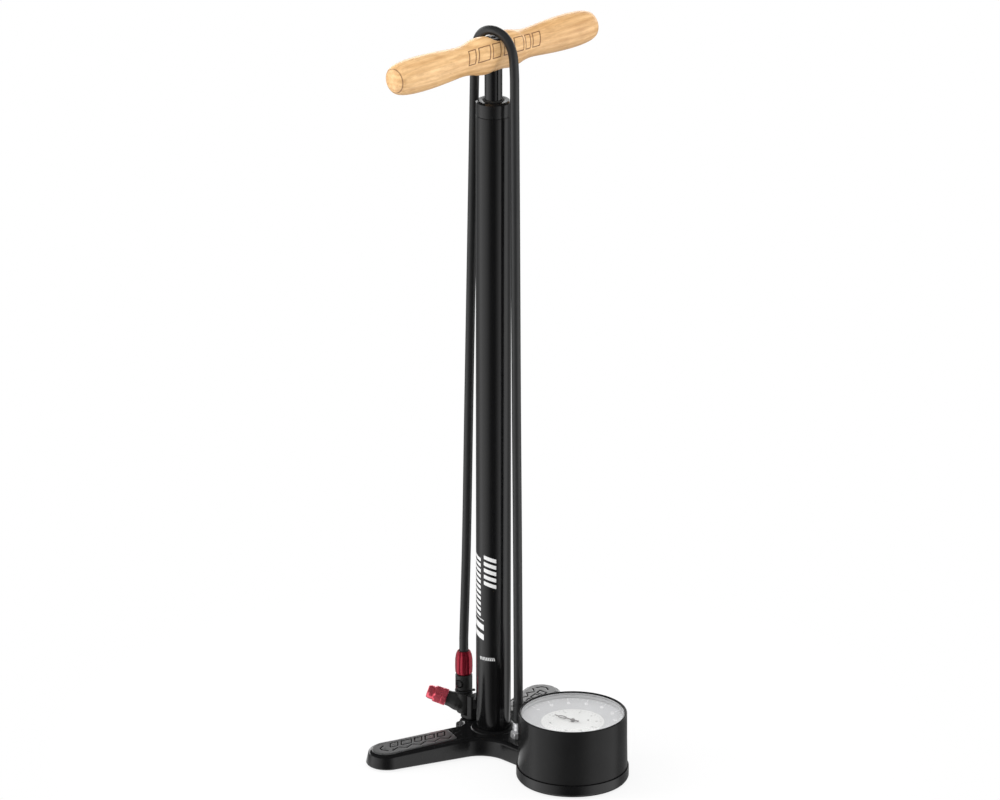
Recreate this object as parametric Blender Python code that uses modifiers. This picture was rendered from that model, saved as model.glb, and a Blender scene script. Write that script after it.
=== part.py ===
# Floor bike pump: three-legged base with a large top-reading gauge, steel barrel,
# turned wooden handle, hose over the handle and a two-way chuck parked behind the barrel.
# Units: the constants below are in millimetres, the geometry is built in metres.
# +Z is up, the barrel axis is the Z axis, the gauge leg points to -Y, the handle lies along X.
import bpy
import bmesh
import math
from mathutils import Vector, Matrix
from mathutils.geometry import tessellate_polygon

MM = 0.001

# ---------------------------------------------------------------- driving dimensions (mm)
GAP = 0.3                 # running clearance between neighbouring pieces

BARREL_R = 16.0
BARREL_IR = 14.0
BARREL_Z0 = 10.7
BARREL_Z1 = 611.5
CAP_TOP = 625.5
CAP_SKIRT_Z = 611.8

ROD_R = 8.0
ROD_IR = 6.4
ROD_Z0 = 30.4
ROD_Z1 = 667.4

HANDLE_Z = 669.6
HANDLE_HALF = 125.0
NOTCH_R = 10.4
NOTCH_Z = 693.0           # centre height of the hose notch across the handle

LEG_ANGLE = 110.4         # side legs, measured from the gauge leg
LEG_LEN = 106.9
LEG_W = 19.4
FRONT_W = 21.0
LEG_TOP = 18.6
LEG_FALL = 0.045          # fall of the side-leg tops towards the feet
FALL_START = 38.0
HUB_R = 21.6
HUB_TOP = 20.4

PAD_S0 = 41.0
PAD_W0 = 11.0
PAD_W1 = 14.2

GAUGE_Y = -103.2
SKIRT_R = 51.5
SKIRT_TOP = 12.5
CUP_R0 = 50.3
CUP_R1 = 49.6
CUP_Z0 = 12.3
CUP_Z1 = 64.5
CUP_WALL = 2.2

HOSE_R = 4.2
HOSE_PORT_Y = -32.4
CHUCK_Y = 39.1
DOCK_Y = 34.0

STEM_Y = -73.2            # gauge stem
CHANNEL_Z = 6.2

SEG = 32

# ---------------------------------------------------------------- clean start
for ob in list(bpy.data.objects):
    bpy.data.objects.remove(ob, do_unlink=True)

scene = bpy.context.scene
parts = bpy.data.collections.new("floor_bike_pump")
scene.collection.children.link(parts)
cutters = bpy.data.collections.new("cutters")
scene.collection.children.link(cutters)


def material(name, rgb, metallic=0.0, rough=0.5, alpha=1.0):
    m = bpy.data.materials.new(name)
    m.use_nodes = True
    b = m.node_tree.nodes["Principled BSDF"]
    b.inputs["Base Color"].default_value = (rgb[0], rgb[1], rgb[2], 1.0)
    b.inputs["Metallic"].default_value = metallic
    b.inputs["Roughness"].default_value = rough
    b.inputs["Alpha"].default_value = alpha
    m.diffuse_color = (rgb[0], rgb[1], rgb[2], alpha)
    return m


BLACK_PAINT = ((0.012, 0.012, 0.013), 0.0, 0.18)
BLACK_SATIN = ((0.02, 0.02, 0.021), 0.0, 0.4)
BLACK_PLASTIC = ((0.03, 0.03, 0.03), 0.0, 0.5)
BLACK_RUBBER = ((0.022, 0.022, 0.022), 0.0, 0.75)
GREY_RUBBER = ((0.30, 0.30, 0.30), 0.0, 0.8)
WOOD = ((0.70, 0.46, 0.22), 0.0, 0.4)
RED_ANOD = ((0.30, 0.008, 0.02), 0.9, 0.3)
CHROME = ((0.72, 0.72, 0.72), 1.0, 0.12)
STEEL = ((0.45, 0.45, 0.46), 1.0, 0.35)
BRASS = ((0.60, 0.42, 0.16), 1.0, 0.3)
CLEAR = ((0.9, 0.9, 0.9), 0.0, 0.05)
DIAL_GREY = ((0.55, 0.55, 0.56), 0.0, 0.5)
WHITE = ((0.8, 0.8, 0.8), 0.0, 0.5)


def place(ob, spec, coll):
    """Link to the parts collection with its own material, or to the cutters."""
    if coll is None:
        parts.objects.link(ob)
        ob.data.materials.append(material(ob.name, *spec))
    else:
        coll.objects.link(ob)
        ob.hide_render = True
        ob.display_type = 'WIRE'
    return ob


def turned(name, profile, segs):
    """(r, z) profile in mm, listed up its outer side, turned about Z by a Screw modifier."""
    pts = list(reversed(profile))
    me = bpy.data.meshes.new(name)
    bm = bmesh.new()
    vs = [bm.verts.new((r * MM, 0.0, z * MM)) for r, z in pts]
    closed = profile[0][0] > 1e-6 and profile[-1][0] > 1e-6
    for i in range(len(vs) - (0 if closed else 1)):
        bm.edges.new((vs[i], vs[(i + 1) % len(vs)]))
    bm.to_mesh(me)
    bm.free()
    ob = bpy.data.objects.new(name, me)
    sc = ob.modifiers.new("Screw", 'SCREW')
    sc.axis = 'Z'
    sc.angle = 2.0 * math.pi
    sc.steps = segs
    sc.render_steps = segs
    sc.use_merge_vertices = True
    sc.merge_threshold = 0.00001
    sc.use_smooth_shade = True
    return ob


def lathe(name, profile, spec, x=0.0, y=0.0, origin_z=0.0, segs=SEG, coll=None, turn=None):
    if turn is None:
        turn = 0.0 if coll is None else 0.071
    ob = turned(name, [(r, z - origin_z) for r, z in profile], segs)
    ob.location = (x * MM, y * MM, origin_z * MM)
    ob.rotation_euler = (0.0, 0.0, turn)
    return place(ob, spec, coll)


def axis_lathe(name, profile, spec, base, direction, segs=SEG, coll=None):
    """Turned piece along any direction: profile z is the distance from `base` along it."""
    ob = turned(name, profile, segs)
    ob.location = Vector(base) * MM
    ob.rotation_mode = 'QUATERNION'
    ob.rotation_quaternion = Vector((0, 0, 1)).rotation_difference(Vector(direction).normalized())
    return place(ob, spec, coll)


def box(name, lo, hi, spec=None, coll=None):
    """Cuboid from its two corners in mm."""
    me = bpy.data.meshes.new(name)
    bm = bmesh.new()
    bmesh.ops.create_cube(bm, size=1.0)
    size = [(h - l) * MM for l, h in zip(lo, hi)]
    bmesh.ops.scale(bm, vec=size, verts=bm.verts)
    bm.to_mesh(me)
    bm.free()
    ob = bpy.data.objects.new(name, me)
    ob.location = [(h + l) / 2 * MM for l, h in zip(lo, hi)]
    return place(ob, spec, coll)


def plate(name, outline_mm, z0, z1, spec=None, coll=None, origin=(0, 0, 0)):
    """Flat outline given anticlockwise in mm, thickened upwards from z0 to z1 with Solidify."""
    me = bpy.data.meshes.new(name)
    bm = bmesh.new()
    vs = [bm.verts.new(((x - origin[0]) * MM, (y - origin[1]) * MM, (z0 - origin[2]) * MM)) for x, y in outline_mm]
    bm.faces.new(vs)
    bm.to_mesh(me)
    bm.free()
    ob = bpy.data.objects.new(name, me)
    ob.location = Vector(origin) * MM
    so = ob.modifiers.new("Solidify", 'SOLIDIFY')
    so.thickness = (z1 - z0) * MM
    so.offset = 1.0
    return place(ob, spec, coll)


def prism(name, loops, spec=None, coll=None, origin=(0, 0, 0)):
    """Loft through stacked loops of unlike size with equal vertex counts; ends closed in plan."""
    n = len(loops[0])
    o = Vector(origin)
    bm = bmesh.new()
    rings = [[bm.verts.new((Vector(p) - o) * MM) for p in lp] for lp in loops]
    for lower, upper in zip(rings[:-1], rings[1:]):
        for k in range(n):
            bm.faces.new((lower[k], lower[(k + 1) % n], upper[(k + 1) % n], upper[k]))
    for lp, ring in ((loops[0], rings[0]), (loops[-1], rings[-1])):
        for t in tessellate_polygon([[Vector((p[0], p[1], 0.0)) for p in lp]]):
            bm.faces.new([ring[i] for i in t])
    bmesh.ops.recalc_face_normals(bm, faces=bm.faces)
    me = bpy.data.meshes.new(name)
    bm.to_mesh(me)
    bm.free()
    ob = bpy.data.objects.new(name, me)
    ob.location = o * MM
    return place(ob, spec, coll)


def tube(name, pts, r, spec, res=2, origin=(0, 0, 0)):
    """Round bar along a point list: a POLY curve with a round bevel and filled ends."""
    o = Vector(origin)
    cu = bpy.data.curves.new(name, 'CURVE')
    cu.dimensions = '3D'
    cu.bevel_depth = r * MM
    cu.bevel_resolution = res
    cu.use_fill_caps = True
    sp = cu.splines.new('POLY')
    sp.points.add(len(pts) - 1)
    for bp, p in zip(sp.points, pts):
        q = (Vector(p) - o) * MM
        bp.co = (q.x, q.y, q.z, 1.0)
    sp.use_smooth = True
    ob = bpy.data.objects.new(name, cu)
    ob.location = o * MM
    return place(ob, spec, None)


def boolean(ob, cutter, op='DIFFERENCE'):
    md = ob.modifiers.new(cutter.name, 'BOOLEAN')
    md.operation = op
    md.solver = 'EXACT'
    md.object = cutter


def smooth_path(pts, n):
    """Catmull-Rom through the control points, n steps each span."""
    out = []
    P = [Vector(p) for p in pts]
    for i in range(len(P) - 1):
        p0 = P[i - 1] if i > 0 else P[i] * 2 - P[i + 1]
        p1, p2 = P[i], P[i + 1]
        p3 = P[i + 2] if i + 2 < len(P) else P[i + 1] * 2 - P[i]
        for k in range(n):
            t = k / n
            out.append(0.5 * ((2 * p1) + (p2 - p0) * t + (2 * p0 - 5 * p1 + 4 * p2 - p3) * t * t
                              + (3 * p1 - p0 - 3 * p2 + p3) * t ** 3))
    out.append(P[-1])
    return out


# ---------------------------------------------------------------- base casting
def unit(deg):
    return Vector((math.cos(math.radians(deg)), math.sin(math.radians(deg)), 0.0))


RIGHT_DIR = unit(-90.0 + LEG_ANGLE)
LEFT_DIR = unit(-90.0 - LEG_ANGLE)
# direction, half width, length to the end centre, fillet radius to the next leg (anticlockwise)
LEGS = [
    (unit(-90.0), FRONT_W, 75.0, 27.5),
    (RIGHT_DIR, LEG_W, LEG_LEN, 9.0),
    (unit(90.0), 9.5, 31.0, 9.0),
    (LEFT_DIR, LEG_W, LEG_LEN, 27.5),
]


def meet(p, d, q, e):
    """Crossing of the plan lines p + s d and q + t e."""
    den = d.x * e.y - d.y * e.x
    s = ((q.x - p.x) * e.y - (q.y - p.y) * e.x) / den
    return p + d * s


def outline(inset, end_steps=10, fillet_steps=6):
    pts = []
    n = len(LEGS)
    for i, (d, w, length, fr) in enumerate(LEGS):
        nl = Vector((-d.y, d.x, 0.0))
        c = d * length
        wi = w - inset
        a0 = math.atan2(-nl.y, -nl.x)
        for k in range(end_steps + 1):
            a = a0 + math.pi * k / end_steps
            pts.append(c + Vector((math.cos(a), math.sin(a), 0.0)) * wi)
        d2, w2, l2, f2 = LEGS[(i + 1) % n]
        nl2 = Vector((-d2.y, d2.x, 0.0))
        centre = meet(nl * (w + fr), d, nl2 * -(w2 + fr), d2)
        ri = fr + inset
        s0 = centre - nl * ri
        s1 = centre + nl2 * ri
        b0 = math.atan2(s0.y - centre.y, s0.x - centre.x)
        b1 = math.atan2(s1.y - centre.y, s1.x - centre.x)
        while b1 > b0:
            b1 -= 2.0 * math.pi
        for k in range(fillet_steps + 1):
            a = b0 + (b1 - b0) * k / fillet_steps
            pts.append(centre + Vector((math.cos(a), math.sin(a), 0.0)) * ri)
    return pts


def leg_top(p):
    s = max(p.dot(RIGHT_DIR), p.dot(LEFT_DIR))
    return LEG_TOP - LEG_FALL * max(0.0, s - FALL_START)


def base_loops():
    loops = []
    for inset, z in ((1.8, 1.0), (0.0, 2.6)):
        loops.append([(p.x, p.y, z) for p in outline(inset)])
    for inset, drop in ((1.7, 4.6), (2.4, 2.2), (3.7, 0.7), (5.4, 0.0)):
        loops.append([(p.x, p.y, leg_top(p) - drop) for p in outline(inset)])
    return loops


def pad_outline(direction, grow):
    d = direction
    nl = Vector((-d.y, d.x, 0.0))
    pts = []
    a0 = math.atan2(-nl.y, -nl.x)
    for k in range(13):
        a = a0 + math.pi * k / 12
        pts.append(d * LEG_LEN + Vector((math.cos(a), math.sin(a), 0.0)) * (PAD_W1 + grow))
    s0 = PAD_S0 - grow
    w = PAD_W0 + grow
    r = 3.0
    for k in range(5):
        a = math.pi / 2 + (math.pi / 2) * k / 4
        pts.append(d * (s0 + r + r * math.cos(a)) + nl * (w - r + r * math.sin(a)))
    for k in range(5):
        a = math.pi + (math.pi / 2) * k / 4
        pts.append(d * (s0 + r + r * math.cos(a)) + nl * (-w + r + r * math.sin(a)))
    return pts


def rounded_rect(x0, x1, y0, y1, r, steps=4):
    pts = []
    for cx, cy, a0 in ((x1 - r, y0 + r, -90), (x1 - r, y1 - r, 0), (x0 + r, y1 - r, 90), (x0 + r, y0 + r, 180)):
        for k in range(steps + 1):
            a = math.radians(a0 + 90.0 * k / steps)
            pts.append((cx + r * math.cos(a), cy + r * math.sin(a)))
    return pts


base = prism("base_casting", base_loops(), BLACK_PAINT)
# low heel behind the rear stub
boolean(base, plate("cut_heel", rounded_rect(-8.0, 8.0, 31.0, 44.5, 5.0), 1.6, 11.8, None, cutters), 'UNION')

# the front leg stops short of the gauge cup; the round skirt ring below the cup closes it
boolean(base, lathe("cut_cup", [(0, 8.0), (CUP_R0 + 0.45, 8.0), (CUP_R0 + 0.45, 40.0), (0, 40.0)],
                    None, 0, GAUGE_Y, 0, 48, cutters))
hub = lathe("cut_hub", [(0, 2.0), (HUB_R, 2.0), (HUB_R, HUB_TOP - 2.4), (HUB_R - 0.9, HUB_TOP - 0.8),
                        (HUB_R - 2.8, HUB_TOP), (0, HUB_TOP)], None, 0, 0, 0, SEG, cutters)
boolean(base, hub, 'UNION')
platform = lathe("cut_platform",
                 [(0, 1.0), (49.7, 1.0), (51.0, 1.9), (SKIRT_R, 3.4), (SKIRT_R, SKIRT_TOP - 0.5),
                  (SKIRT_R - 0.4, SKIRT_TOP), (CUP_R0 + 0.45, SKIRT_TOP), (CUP_R0 + 0.45, CUP_Z0 - GAP),
                  (0, CUP_Z0 - GAP)], None, 0, GAUGE_Y, 0, 48, cutters, 0.031)
boolean(base, platform, 'UNION')
boolean(base, lathe("cut_socket", [(0, 9.0), (BARREL_R + GAP, 9.0), (BARREL_R + GAP, 30.0), (0, 30.0)],
                    None, 0, 0, 0, SEG, cutters))
boolean(base, lathe("cut_valve_bore", [(0, 2.6), (7.3, 2.6), (7.3, 10.0), (0, 10.0)], None, 0, 0, 0, 32, cutters))
boolean(base, lathe("cut_hose_port", [(0, CHANNEL_Z), (3.6, CHANNEL_Z), (3.6, 12.0), (7.35, 12.0), (7.35, 30.0), (0, 30.0)],
                    None, 0, HOSE_PORT_Y, 0, 32, cutters))
boolean(base, lathe("cut_stem_port", [(0, 4.0), (4.3, 4.0), (4.3, 20.0), (0, 20.0)], None, 0, STEM_Y, 0, 32, cutters))
boolean(base, axis_lathe("cut_channel", [(0, 0.0), (1.9, 0.0), (1.9, 70.0), (0, 70.0)], None,
                         (0, -4.5, CHANNEL_Z), (0, -1, 0), 16, cutters))
for side, d in (("right", RIGHT_DIR), ("left", LEFT_DIR)):
    lo = [(p.x, p.y, leg_top(p) - 1.5) for p in pad_outline(d, GAP)]
    hi = [(p.x, p.y, leg_top(p) + 6.0) for p in pad_outline(d, GAP)]
    boolean(base, prism("cut_pad_" + side, [lo, hi], None, cutters))
    # weight-saving pocket under the leg
    nl = Vector((-d.y, d.x, 0.0))
    ring = []
    for c, a0 in ((d * 84.0, -math.pi / 2), (d * 48.0, math.pi / 2)):
        for k in range(9):
            a = a0 + math.pi * k / 8
            ring.append(c + d * (11.0 * math.cos(a)) + nl * (11.0 * math.sin(a)))
    boolean(base, plate("cut_pocket_" + side, [(p.x, p.y) for p in ring], -3.0, 7.4, None, cutters))

FEET = {"foot_left": LEFT_DIR * LEG_LEN, "foot_right": RIGHT_DIR * LEG_LEN,
        "foot_gauge": Vector((0, GAUGE_Y, 0)), "foot_hub": Vector((0, 0, 0))}
FOOT_R = {"foot_left": 10.5, "foot_right": 10.5, "foot_gauge": 16.0, "foot_hub": 12.5}
for name, c in FEET.items():
    r = FOOT_R[name]
    top = 4.5 if name != "foot_hub" else 2.0
    if name == "foot_hub":
        prof = [(0, 0.0), (r, 0.0), (r, 0.7), (0, 0.7)]
    else:
        prof = [(0, 0.0), (r - 0.6, 0.0), (r, 0.5), (r, top - GAP), (0, top - GAP)]
        boolean(base, lathe("cut_" + name, [(0, -2.0), (r + GAP, -2.0), (r + GAP, top), (0, top)],
                            None, c.x, c.y, 0, 32, cutters))
    lathe(name, prof, BLACK_RUBBER, c.x, c.y, 0.0, 32)

for side, d in (("right", RIGHT_DIR), ("left", LEFT_DIR)):
    nm = "grip_pad_" + side
    lo = [(p.x, p.y, leg_top(p) - 1.2) for p in pad_outline(d, 0.0)]
    mid = [(p.x, p.y, leg_top(p) + 0.1) for p in pad_outline(d, 0.0)]
    hi = [(p.x, p.y, leg_top(p) + 0.5) for p in pad_outline(d, -0.5)]
    c = d * 75.0
    prism(nm, [lo, mid, hi], GREY_RUBBER, None, (c.x, c.y, 16.0))

# ---------------------------------------------------------------- barrel group
lathe("barrel_gasket", [(14.2, 9.3), (15.9, 9.3), (15.9, 10.4), (14.2, 10.4)], BLACK_RUBBER, 0, 0, 9.3)
lathe("barrel", [(BARREL_IR, BARREL_Z0), (BARREL_R, BARREL_Z0), (BARREL_R, BARREL_Z1), (BARREL_IR, BARREL_Z1)],
      BLACK_PAINT, 0, 0, BARREL_Z0)
lathe("barrel_cap",
      [(11.3, 597.0), (BARREL_IR - GAP, 597.0), (BARREL_IR - GAP, CAP_SKIRT_Z), (BARREL_R, CAP_SKIRT_Z),
       (BARREL_R, CAP_TOP - 1.6), (BARREL_R - 1.7, CAP_TOP), (10.0, CAP_TOP), (10.0, 622.0), (11.3, 622.0)],
      BLACK_PAINT, 0, 0, CAP_SKIRT_Z)
lathe("rod_bushing", [(8.3, 598.0), (11.0, 598.0), (11.0, 621.7), (8.3, 621.7)], BLACK_PLASTIC, 0, 0, 598.0)
lathe("rod_wiper", [(8.3, 622.3), (9.7, 622.3), (9.7, 625.6), (9.1, 626.5), (8.3, 626.5)], BLACK_RUBBER, 0, 0, 622.3)

# ---------------------------------------------------------------- check valve under the barrel
lathe("valve_seat", [(3.2, 9.35), (13.6, 9.35), (13.6, 12.6), (3.2, 12.6)], BRASS, 0, 0, 9.35, 32)
lathe("valve_poppet", [(0, 7.3), (5.6, 7.3), (5.6, 8.9), (2.6, 9.05), (2.2, 10.6), (0, 10.6)], BLACK_RUBBER, 0, 0, 7.3, 24)
spring_pts = []
for k in range(31):
    a = 2.0 * math.pi * 2.5 * k / 30.0
    spring_pts.append((4.4 * math.cos(a), 4.4 * math.sin(a), 3.25 + (6.6 - 3.25) * k / 30.0))
tube("valve_spring", spring_pts, 0.32, STEEL, 2, (0, 0, 2.9))

# ---------------------------------------------------------------- piston and rod
lathe("piston_head", [(3.2, 17.5), (13.3, 17.5), (13.3, 21.0), (11.2, 21.0), (11.2, 24.6), (13.3, 24.6),
                      (13.3, 28.0), (9.0, 30.0), (6.1, 30.0), (6.1, 42.0), (3.2, 42.0)], BLACK_PLASTIC, 0, 0, 17.5)
lathe("piston_seal", [(11.5, 21.3), (13.7, 21.3), (13.7, 24.3), (11.5, 24.3)], BLACK_RUBBER, 0, 0, 21.3)
lathe("piston_bolt", [(0, 13.6), (5.2, 13.6), (5.2, 17.2), (2.9, 17.2), (2.9, 40.0), (0, 40.0)], STEEL, 0, 0, 13.6, 24)
lathe("piston_bumper", [(8.4, 30.5), (12.8, 30.5), (12.8, 35.5), (8.4, 35.5)], BLACK_RUBBER, 0, 0, 30.5, 32)
lathe("rod", [(ROD_IR, ROD_Z0), (ROD_R, ROD_Z0), (ROD_R, ROD_Z1), (ROD_IR, ROD_Z1)], BLACK_PAINT, 0, 0, ROD_Z0)
lathe("rod_plug", [(3.4, 642.0), (6.1, 642.0), (6.1, 667.2), (3.4, 667.2)], STEEL, 0, 0, 642.0, 32)

# ---------------------------------------------------------------- handle
HANDLE_PROFILE = [(0, 16.2), (8, 16.3), (13, 16.9), (18.5, 16.9), (23.8, 16.1), (29, 14.8), (35.2, 13.8), (41.5, 13.4),
                  (49.7, 13.7), (60, 14.5), (72.5, 15.3), (87, 15.8), (99.4, 15.7), (107.7, 15.2), (113.9, 14.4),
                  (118.3, 13.3), (120.9, 12.0), (123.1, 9.2), (124.5, 5.4), (HANDLE_HALF, 0.0)]
prof = [(r, -x) for x, r in reversed(HANDLE_PROFILE[1:])] + [(r, x) for x, r in HANDLE_PROFILE]
handle = axis_lathe("handle", prof, WOOD, (0, 0, HANDLE_Z), (1, 0, 0), 20)
boolean(handle, axis_lathe("cut_notch", [(0, 0), (NOTCH_R, 0), (NOTCH_R, 60.0), (0, 60.0)], None,
                           (0, -30.0, NOTCH_Z), (0, 1, 0), 32, cutters))
boolean(handle, lathe("cut_handle_bore", [(0, 640.0), (ROD_R + GAP, 640.0), (ROD_R + GAP, 668.0), (3.5, 668.0),
                                          (3.5, 681.4), (7.9, 681.4), (7.9, 700.0), (0, 700.0)], None, 0, 0, 0, 32, cutters))
lathe("handle_bolt", [(0, 646.0), (3.0, 646.0), (3.0, 681.8), (7.5, 681.8), (7.5, 683.1), (6.8, 683.7), (0, 683.7)],
      STEEL, 0, 0, 681.8, 24)

# ---------------------------------------------------------------- gauge
lathe("gauge_housing",
      [(0, CUP_Z0), (CUP_R0, CUP_Z0), (CUP_R1 + 0.1, CUP_Z1 - 0.8), (CUP_R1 - 0.6, CUP_Z1), (CUP_R1 - 1.6, CUP_Z1),
       (CUP_R1 - CUP_WALL, CUP_Z1 - 1.0), (CUP_R1 - CUP_WALL, 15.4), (0, 15.4)],
      BLACK_SATIN, 0, GAUGE_Y, CUP_Z0, 48)
cup = bpy.data.objects["gauge_housing"]
boolean(cup, lathe("cut_stem_hole", [(0, 10.0), (4.3, 10.0), (4.3, 20.0), (0, 20.0)], None, 0, STEM_Y, 0, 32, cutters))
LENS_R = CUP_R1 - CUP_WALL - GAP
lathe("gauge_ring", [(LENS_R - 1.0, 59.1), (LENS_R, 59.1), (LENS_R, 61.8), (LENS_R - 1.0, 61.8)], DIAL_GREY, 0, GAUGE_Y, 59.1, 36)
lathe("gauge_lens", [(0, 62.1), (LENS_R, 62.1), (LENS_R, 63.4), (LENS_R - 1.2, 63.9), (0, 64.1)], CLEAR, 0, GAUGE_Y, 62.1, 36)
lathe("gauge_dial", [(2.0, 53.7), (29.5, 53.7), (LENS_R - 0.2, 57.4), (LENS_R - 0.2, 58.8), (LENS_R - 1.2, 58.8),
                     (29.0, 54.9), (2.0, 54.9)], WHITE, 0, GAUGE_Y, 53.7, 36)
lathe("gauge_movement", [(0, 15.7), (17.0, 15.7), (17.0, 18.0), (7.0, 18.0), (7.0, 30.0), (10.0, 32.0), (10.0, 49.0),
                         (13.0, 50.0), (13.0, 53.4), (1.8, 53.4), (1.8, 44.0), (0, 44.0)], BRASS, 0, GAUGE_Y, 15.7, 20)
lathe("gauge_spindle", [(0, 44.6), (1.2, 44.6), (1.2, 55.9), (0, 55.9)], STEEL, 0, GAUGE_Y, 44.6, 16)
# pointer: thin tip, an open eye behind it, a round boss and a short tail, lying at the start of the scale
PA = math.radians(100.0)
pd = Vector((math.cos(PA), math.sin(PA), 0.0))
pn = Vector((-pd.y, pd.x, 0.0))


def eye(t, a, b):
    return 11.5 + a * math.cos(math.radians(t)), b * math.sin(math.radians(t))


side = [(20.0, 0.3)] + [eye(8.0 + 164.0 * k / 8, 4.6, 2.5) for k in range(9)]
side += [(2.2 * math.cos(math.radians(t)), 2.2 * math.sin(math.radians(t))) for t in range(15, 156, 20)]
side.append((-6.5, 0.9))
plan = [pd * s + pn * w for s, w in side] + [pd * s - pn * w for s, w in reversed(side)]
pointer = plate("gauge_pointer", [(p.x, p.y + GAUGE_Y) for p in plan], 56.2, 57.0, BLACK_PLASTIC, None, (0, GAUGE_Y, 56.2))
hole = [eye(30.0 * k, 3.3, 1.4) for k in range(12)]
boolean(pointer, plate("cut_eye", [((pd * s + pn * w).x, (pd * s + pn * w).y + GAUGE_Y) for s, w in hole],
                       55.9, 57.3, None, cutters))
bourdon = []
for k in range(29):
    a = math.radians(82.0 - 310.0 * k / 28.0)
    bourdon.append((30.0 * math.cos(a), GAUGE_Y + 30.0 * math.sin(a), 31.0 + 2.0 * k / 28.0))
tube("bourdon_tube", bourdon, 2.1, BRASS, 2, (0, GAUGE_Y, 31.0))
lathe("gauge_stem", [(0, 5.0), (4.0, 5.0), (4.0, 15.9), (5.6, 15.9), (3.2, 34.0), (0, 34.0)], BRASS, 0, STEM_Y, 5.0, 24)

# ---------------------------------------------------------------- hose fitting on the gauge leg
lathe("hose_nut", [(2.0, CHANNEL_Z + 0.6), (3.3, CHANNEL_Z + 0.6), (3.3, 12.3), (7.0, 12.3), (7.0, 23.6), (6.3, 24.4), (2.0, 24.4)],
      CHROME, 0, HOSE_PORT_Y, 12.3, 24)
lathe("hose_stem", [(0, 24.8), (4.6, 24.8), (5.2, 25.4), (5.2, 32.6), (4.4, 33.4), (0, 33.4)], CHROME, 0, HOSE_PORT_Y, 24.8, 24)

HOSE_CTRL = [(-32.4, 33.8), (-32.45, 75), (-31.2, 212), (-29.6, 348), (-28.3, 500), (-27.0, 630), (-26.6, 655),
             (-24.6, 671.5), (-20.2, 681.0), (-13.2, 687.0), (-5.0, 689.4), (2.0, 689.5), (9.0, 687.7), (15.1, 684.0),
             (19.8, 677.4), (22.6, 668.0), (23.8, 654.0), (24.4, 634.0), (28.3, 477), (32.0, 331), (35.3, 194),
             (38.2, 104), (39.1, 84), (39.1, 64.6)]
fine = smooth_path([(y, z, 0.0) for y, z in HOSE_CTRL], 24)
# the lowest 20 mm is a thicker moulded bend relief
hose_pts = [fine[0], Vector((-32.42, 53.6, 0.0)), Vector((-32.42, 54.8, 0.0))]
for q in fine[1:-1]:
    if q.y < 58.0 and q.x < 0.0:
        continue
    # a point about every 20 mm on the long runs and every 6 mm round the arch
    step = 6.0 if q.y > 640.0 else 20.0
    if (q - hose_pts[-1]).length >= step and (q - fine[-1]).length > 0.6 * step:
        hose_pts.append(q)
hose_pts.append(fine[-1])
hose = tube("hose", [(0.0, p.x, p.y) for p in hose_pts], HOSE_R, BLACK_RUBBER, 3, (0, HOSE_PORT_Y, 33.8))
for bp in hose.data.splines[0].points[:2]:
    bp.radius = 4.9 / HOSE_R

# ---------------------------------------------------------------- chuck parked behind the barrel
NOZZLE_DIR = Vector((math.cos(math.radians(128.0)) * math.cos(math.radians(17.4)),
                     math.sin(math.radians(128.0)) * math.cos(math.radians(17.4)),
                     math.sin(math.radians(17.4))))
NOZZLE_BASE = Vector((0.0, CHUCK_Y - 1.0, 30.5))

lathe("chuck_collar", [(4.6, 60.6), (7.4, 60.6), (7.9, 61.6), (8.1, 68.0), (7.9, 76.0), (7.0, 80.4), (5.8, 83.4), (4.6, 83.4)],
      RED_ANOD, 0, CHUCK_Y, 60.6)
body = lathe("chuck_body", [(0, 45.2), (7.6, 45.2), (7.9, 45.8), (7.9, 59.6), (7.4, 60.3), (3.9, 60.3), (3.9, 64.2), (0, 64.2)],
             BLACK_PLASTIC, 0, CHUCK_Y, 45.2)
# bleed button let into the side of the chuck body: pressed in, it lets the air out of the hose
BUTTON_DIR = unit(191.0)
BUTTON_BASE = (0.0, CHUCK_Y, 52.4)
boolean(body, axis_lathe("cut_button_bore", [(0, 3.0), (3.9, 3.0), (3.9, 14.0), (0, 14.0)], None, BUTTON_BASE, BUTTON_DIR, 24, cutters))
axis_lathe("bleed_button", [(0, 4.9), (3.6, 4.9), (3.6, 7.7), (3.2, 8.1), (0, 8.3)], BLACK_PLASTIC, BUTTON_BASE, BUTTON_DIR, 20)
flange = lathe("chuck_flange", [(0, 43.1), (8.0, 43.1), (8.35, 43.6), (8.35, 44.4), (8.0, 44.9), (0, 44.9)],
               BLACK_PLASTIC, 0, CHUCK_Y, 43.1)
# small round lug on the flange's right side
LUG = unit(-44.4) * 9.0 + Vector((0, CHUCK_Y, 0))
boolean(flange, lathe("cut_lug", [(0, 43.3), (1.6, 43.3), (1.6, 44.7), (0, 44.7)], None, LUG.x, LUG.y, 0, 16, cutters), 'UNION')
yoke = lathe("chuck_yoke", [(0, 22.5), (6.8, 22.5), (7.6, 23.6), (7.6, 42.0), (7.0, 42.8), (0, 42.8)],
             BLACK_PLASTIC, 0, CHUCK_Y - 1.0, 22.5, 32)
branch = axis_lathe("cut_branch", [(0, 0.0), (6.9, 0.0), (6.9, 17.8), (3.4, 17.8), (3.4, 25.5), (0, 25.5)], None,
                    NOZZLE_BASE, NOZZLE_DIR, 32, cutters)
boolean(yoke, branch, 'UNION')
plug = lathe("cut_plug", [(0, 19.8), (3.1, 19.8), (3.6, 20.3), (3.6, 30.0), (0, 30.0)], None, 0, DOCK_Y, 0, 24, cutters)
boolean(yoke, plug, 'UNION')
axis_lathe("chuck_nozzle", [(4.2, 18.2), (7.6, 18.2), (8.3, 19.2), (8.3, 28.2), (7.2, 29.6), (6.4, 30.4), (6.4, 34.6),
                                  (5.4, 36.6), (4.2, 36.6)], RED_ANOD, NOZZLE_BASE, NOZZLE_DIR, 6)
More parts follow.
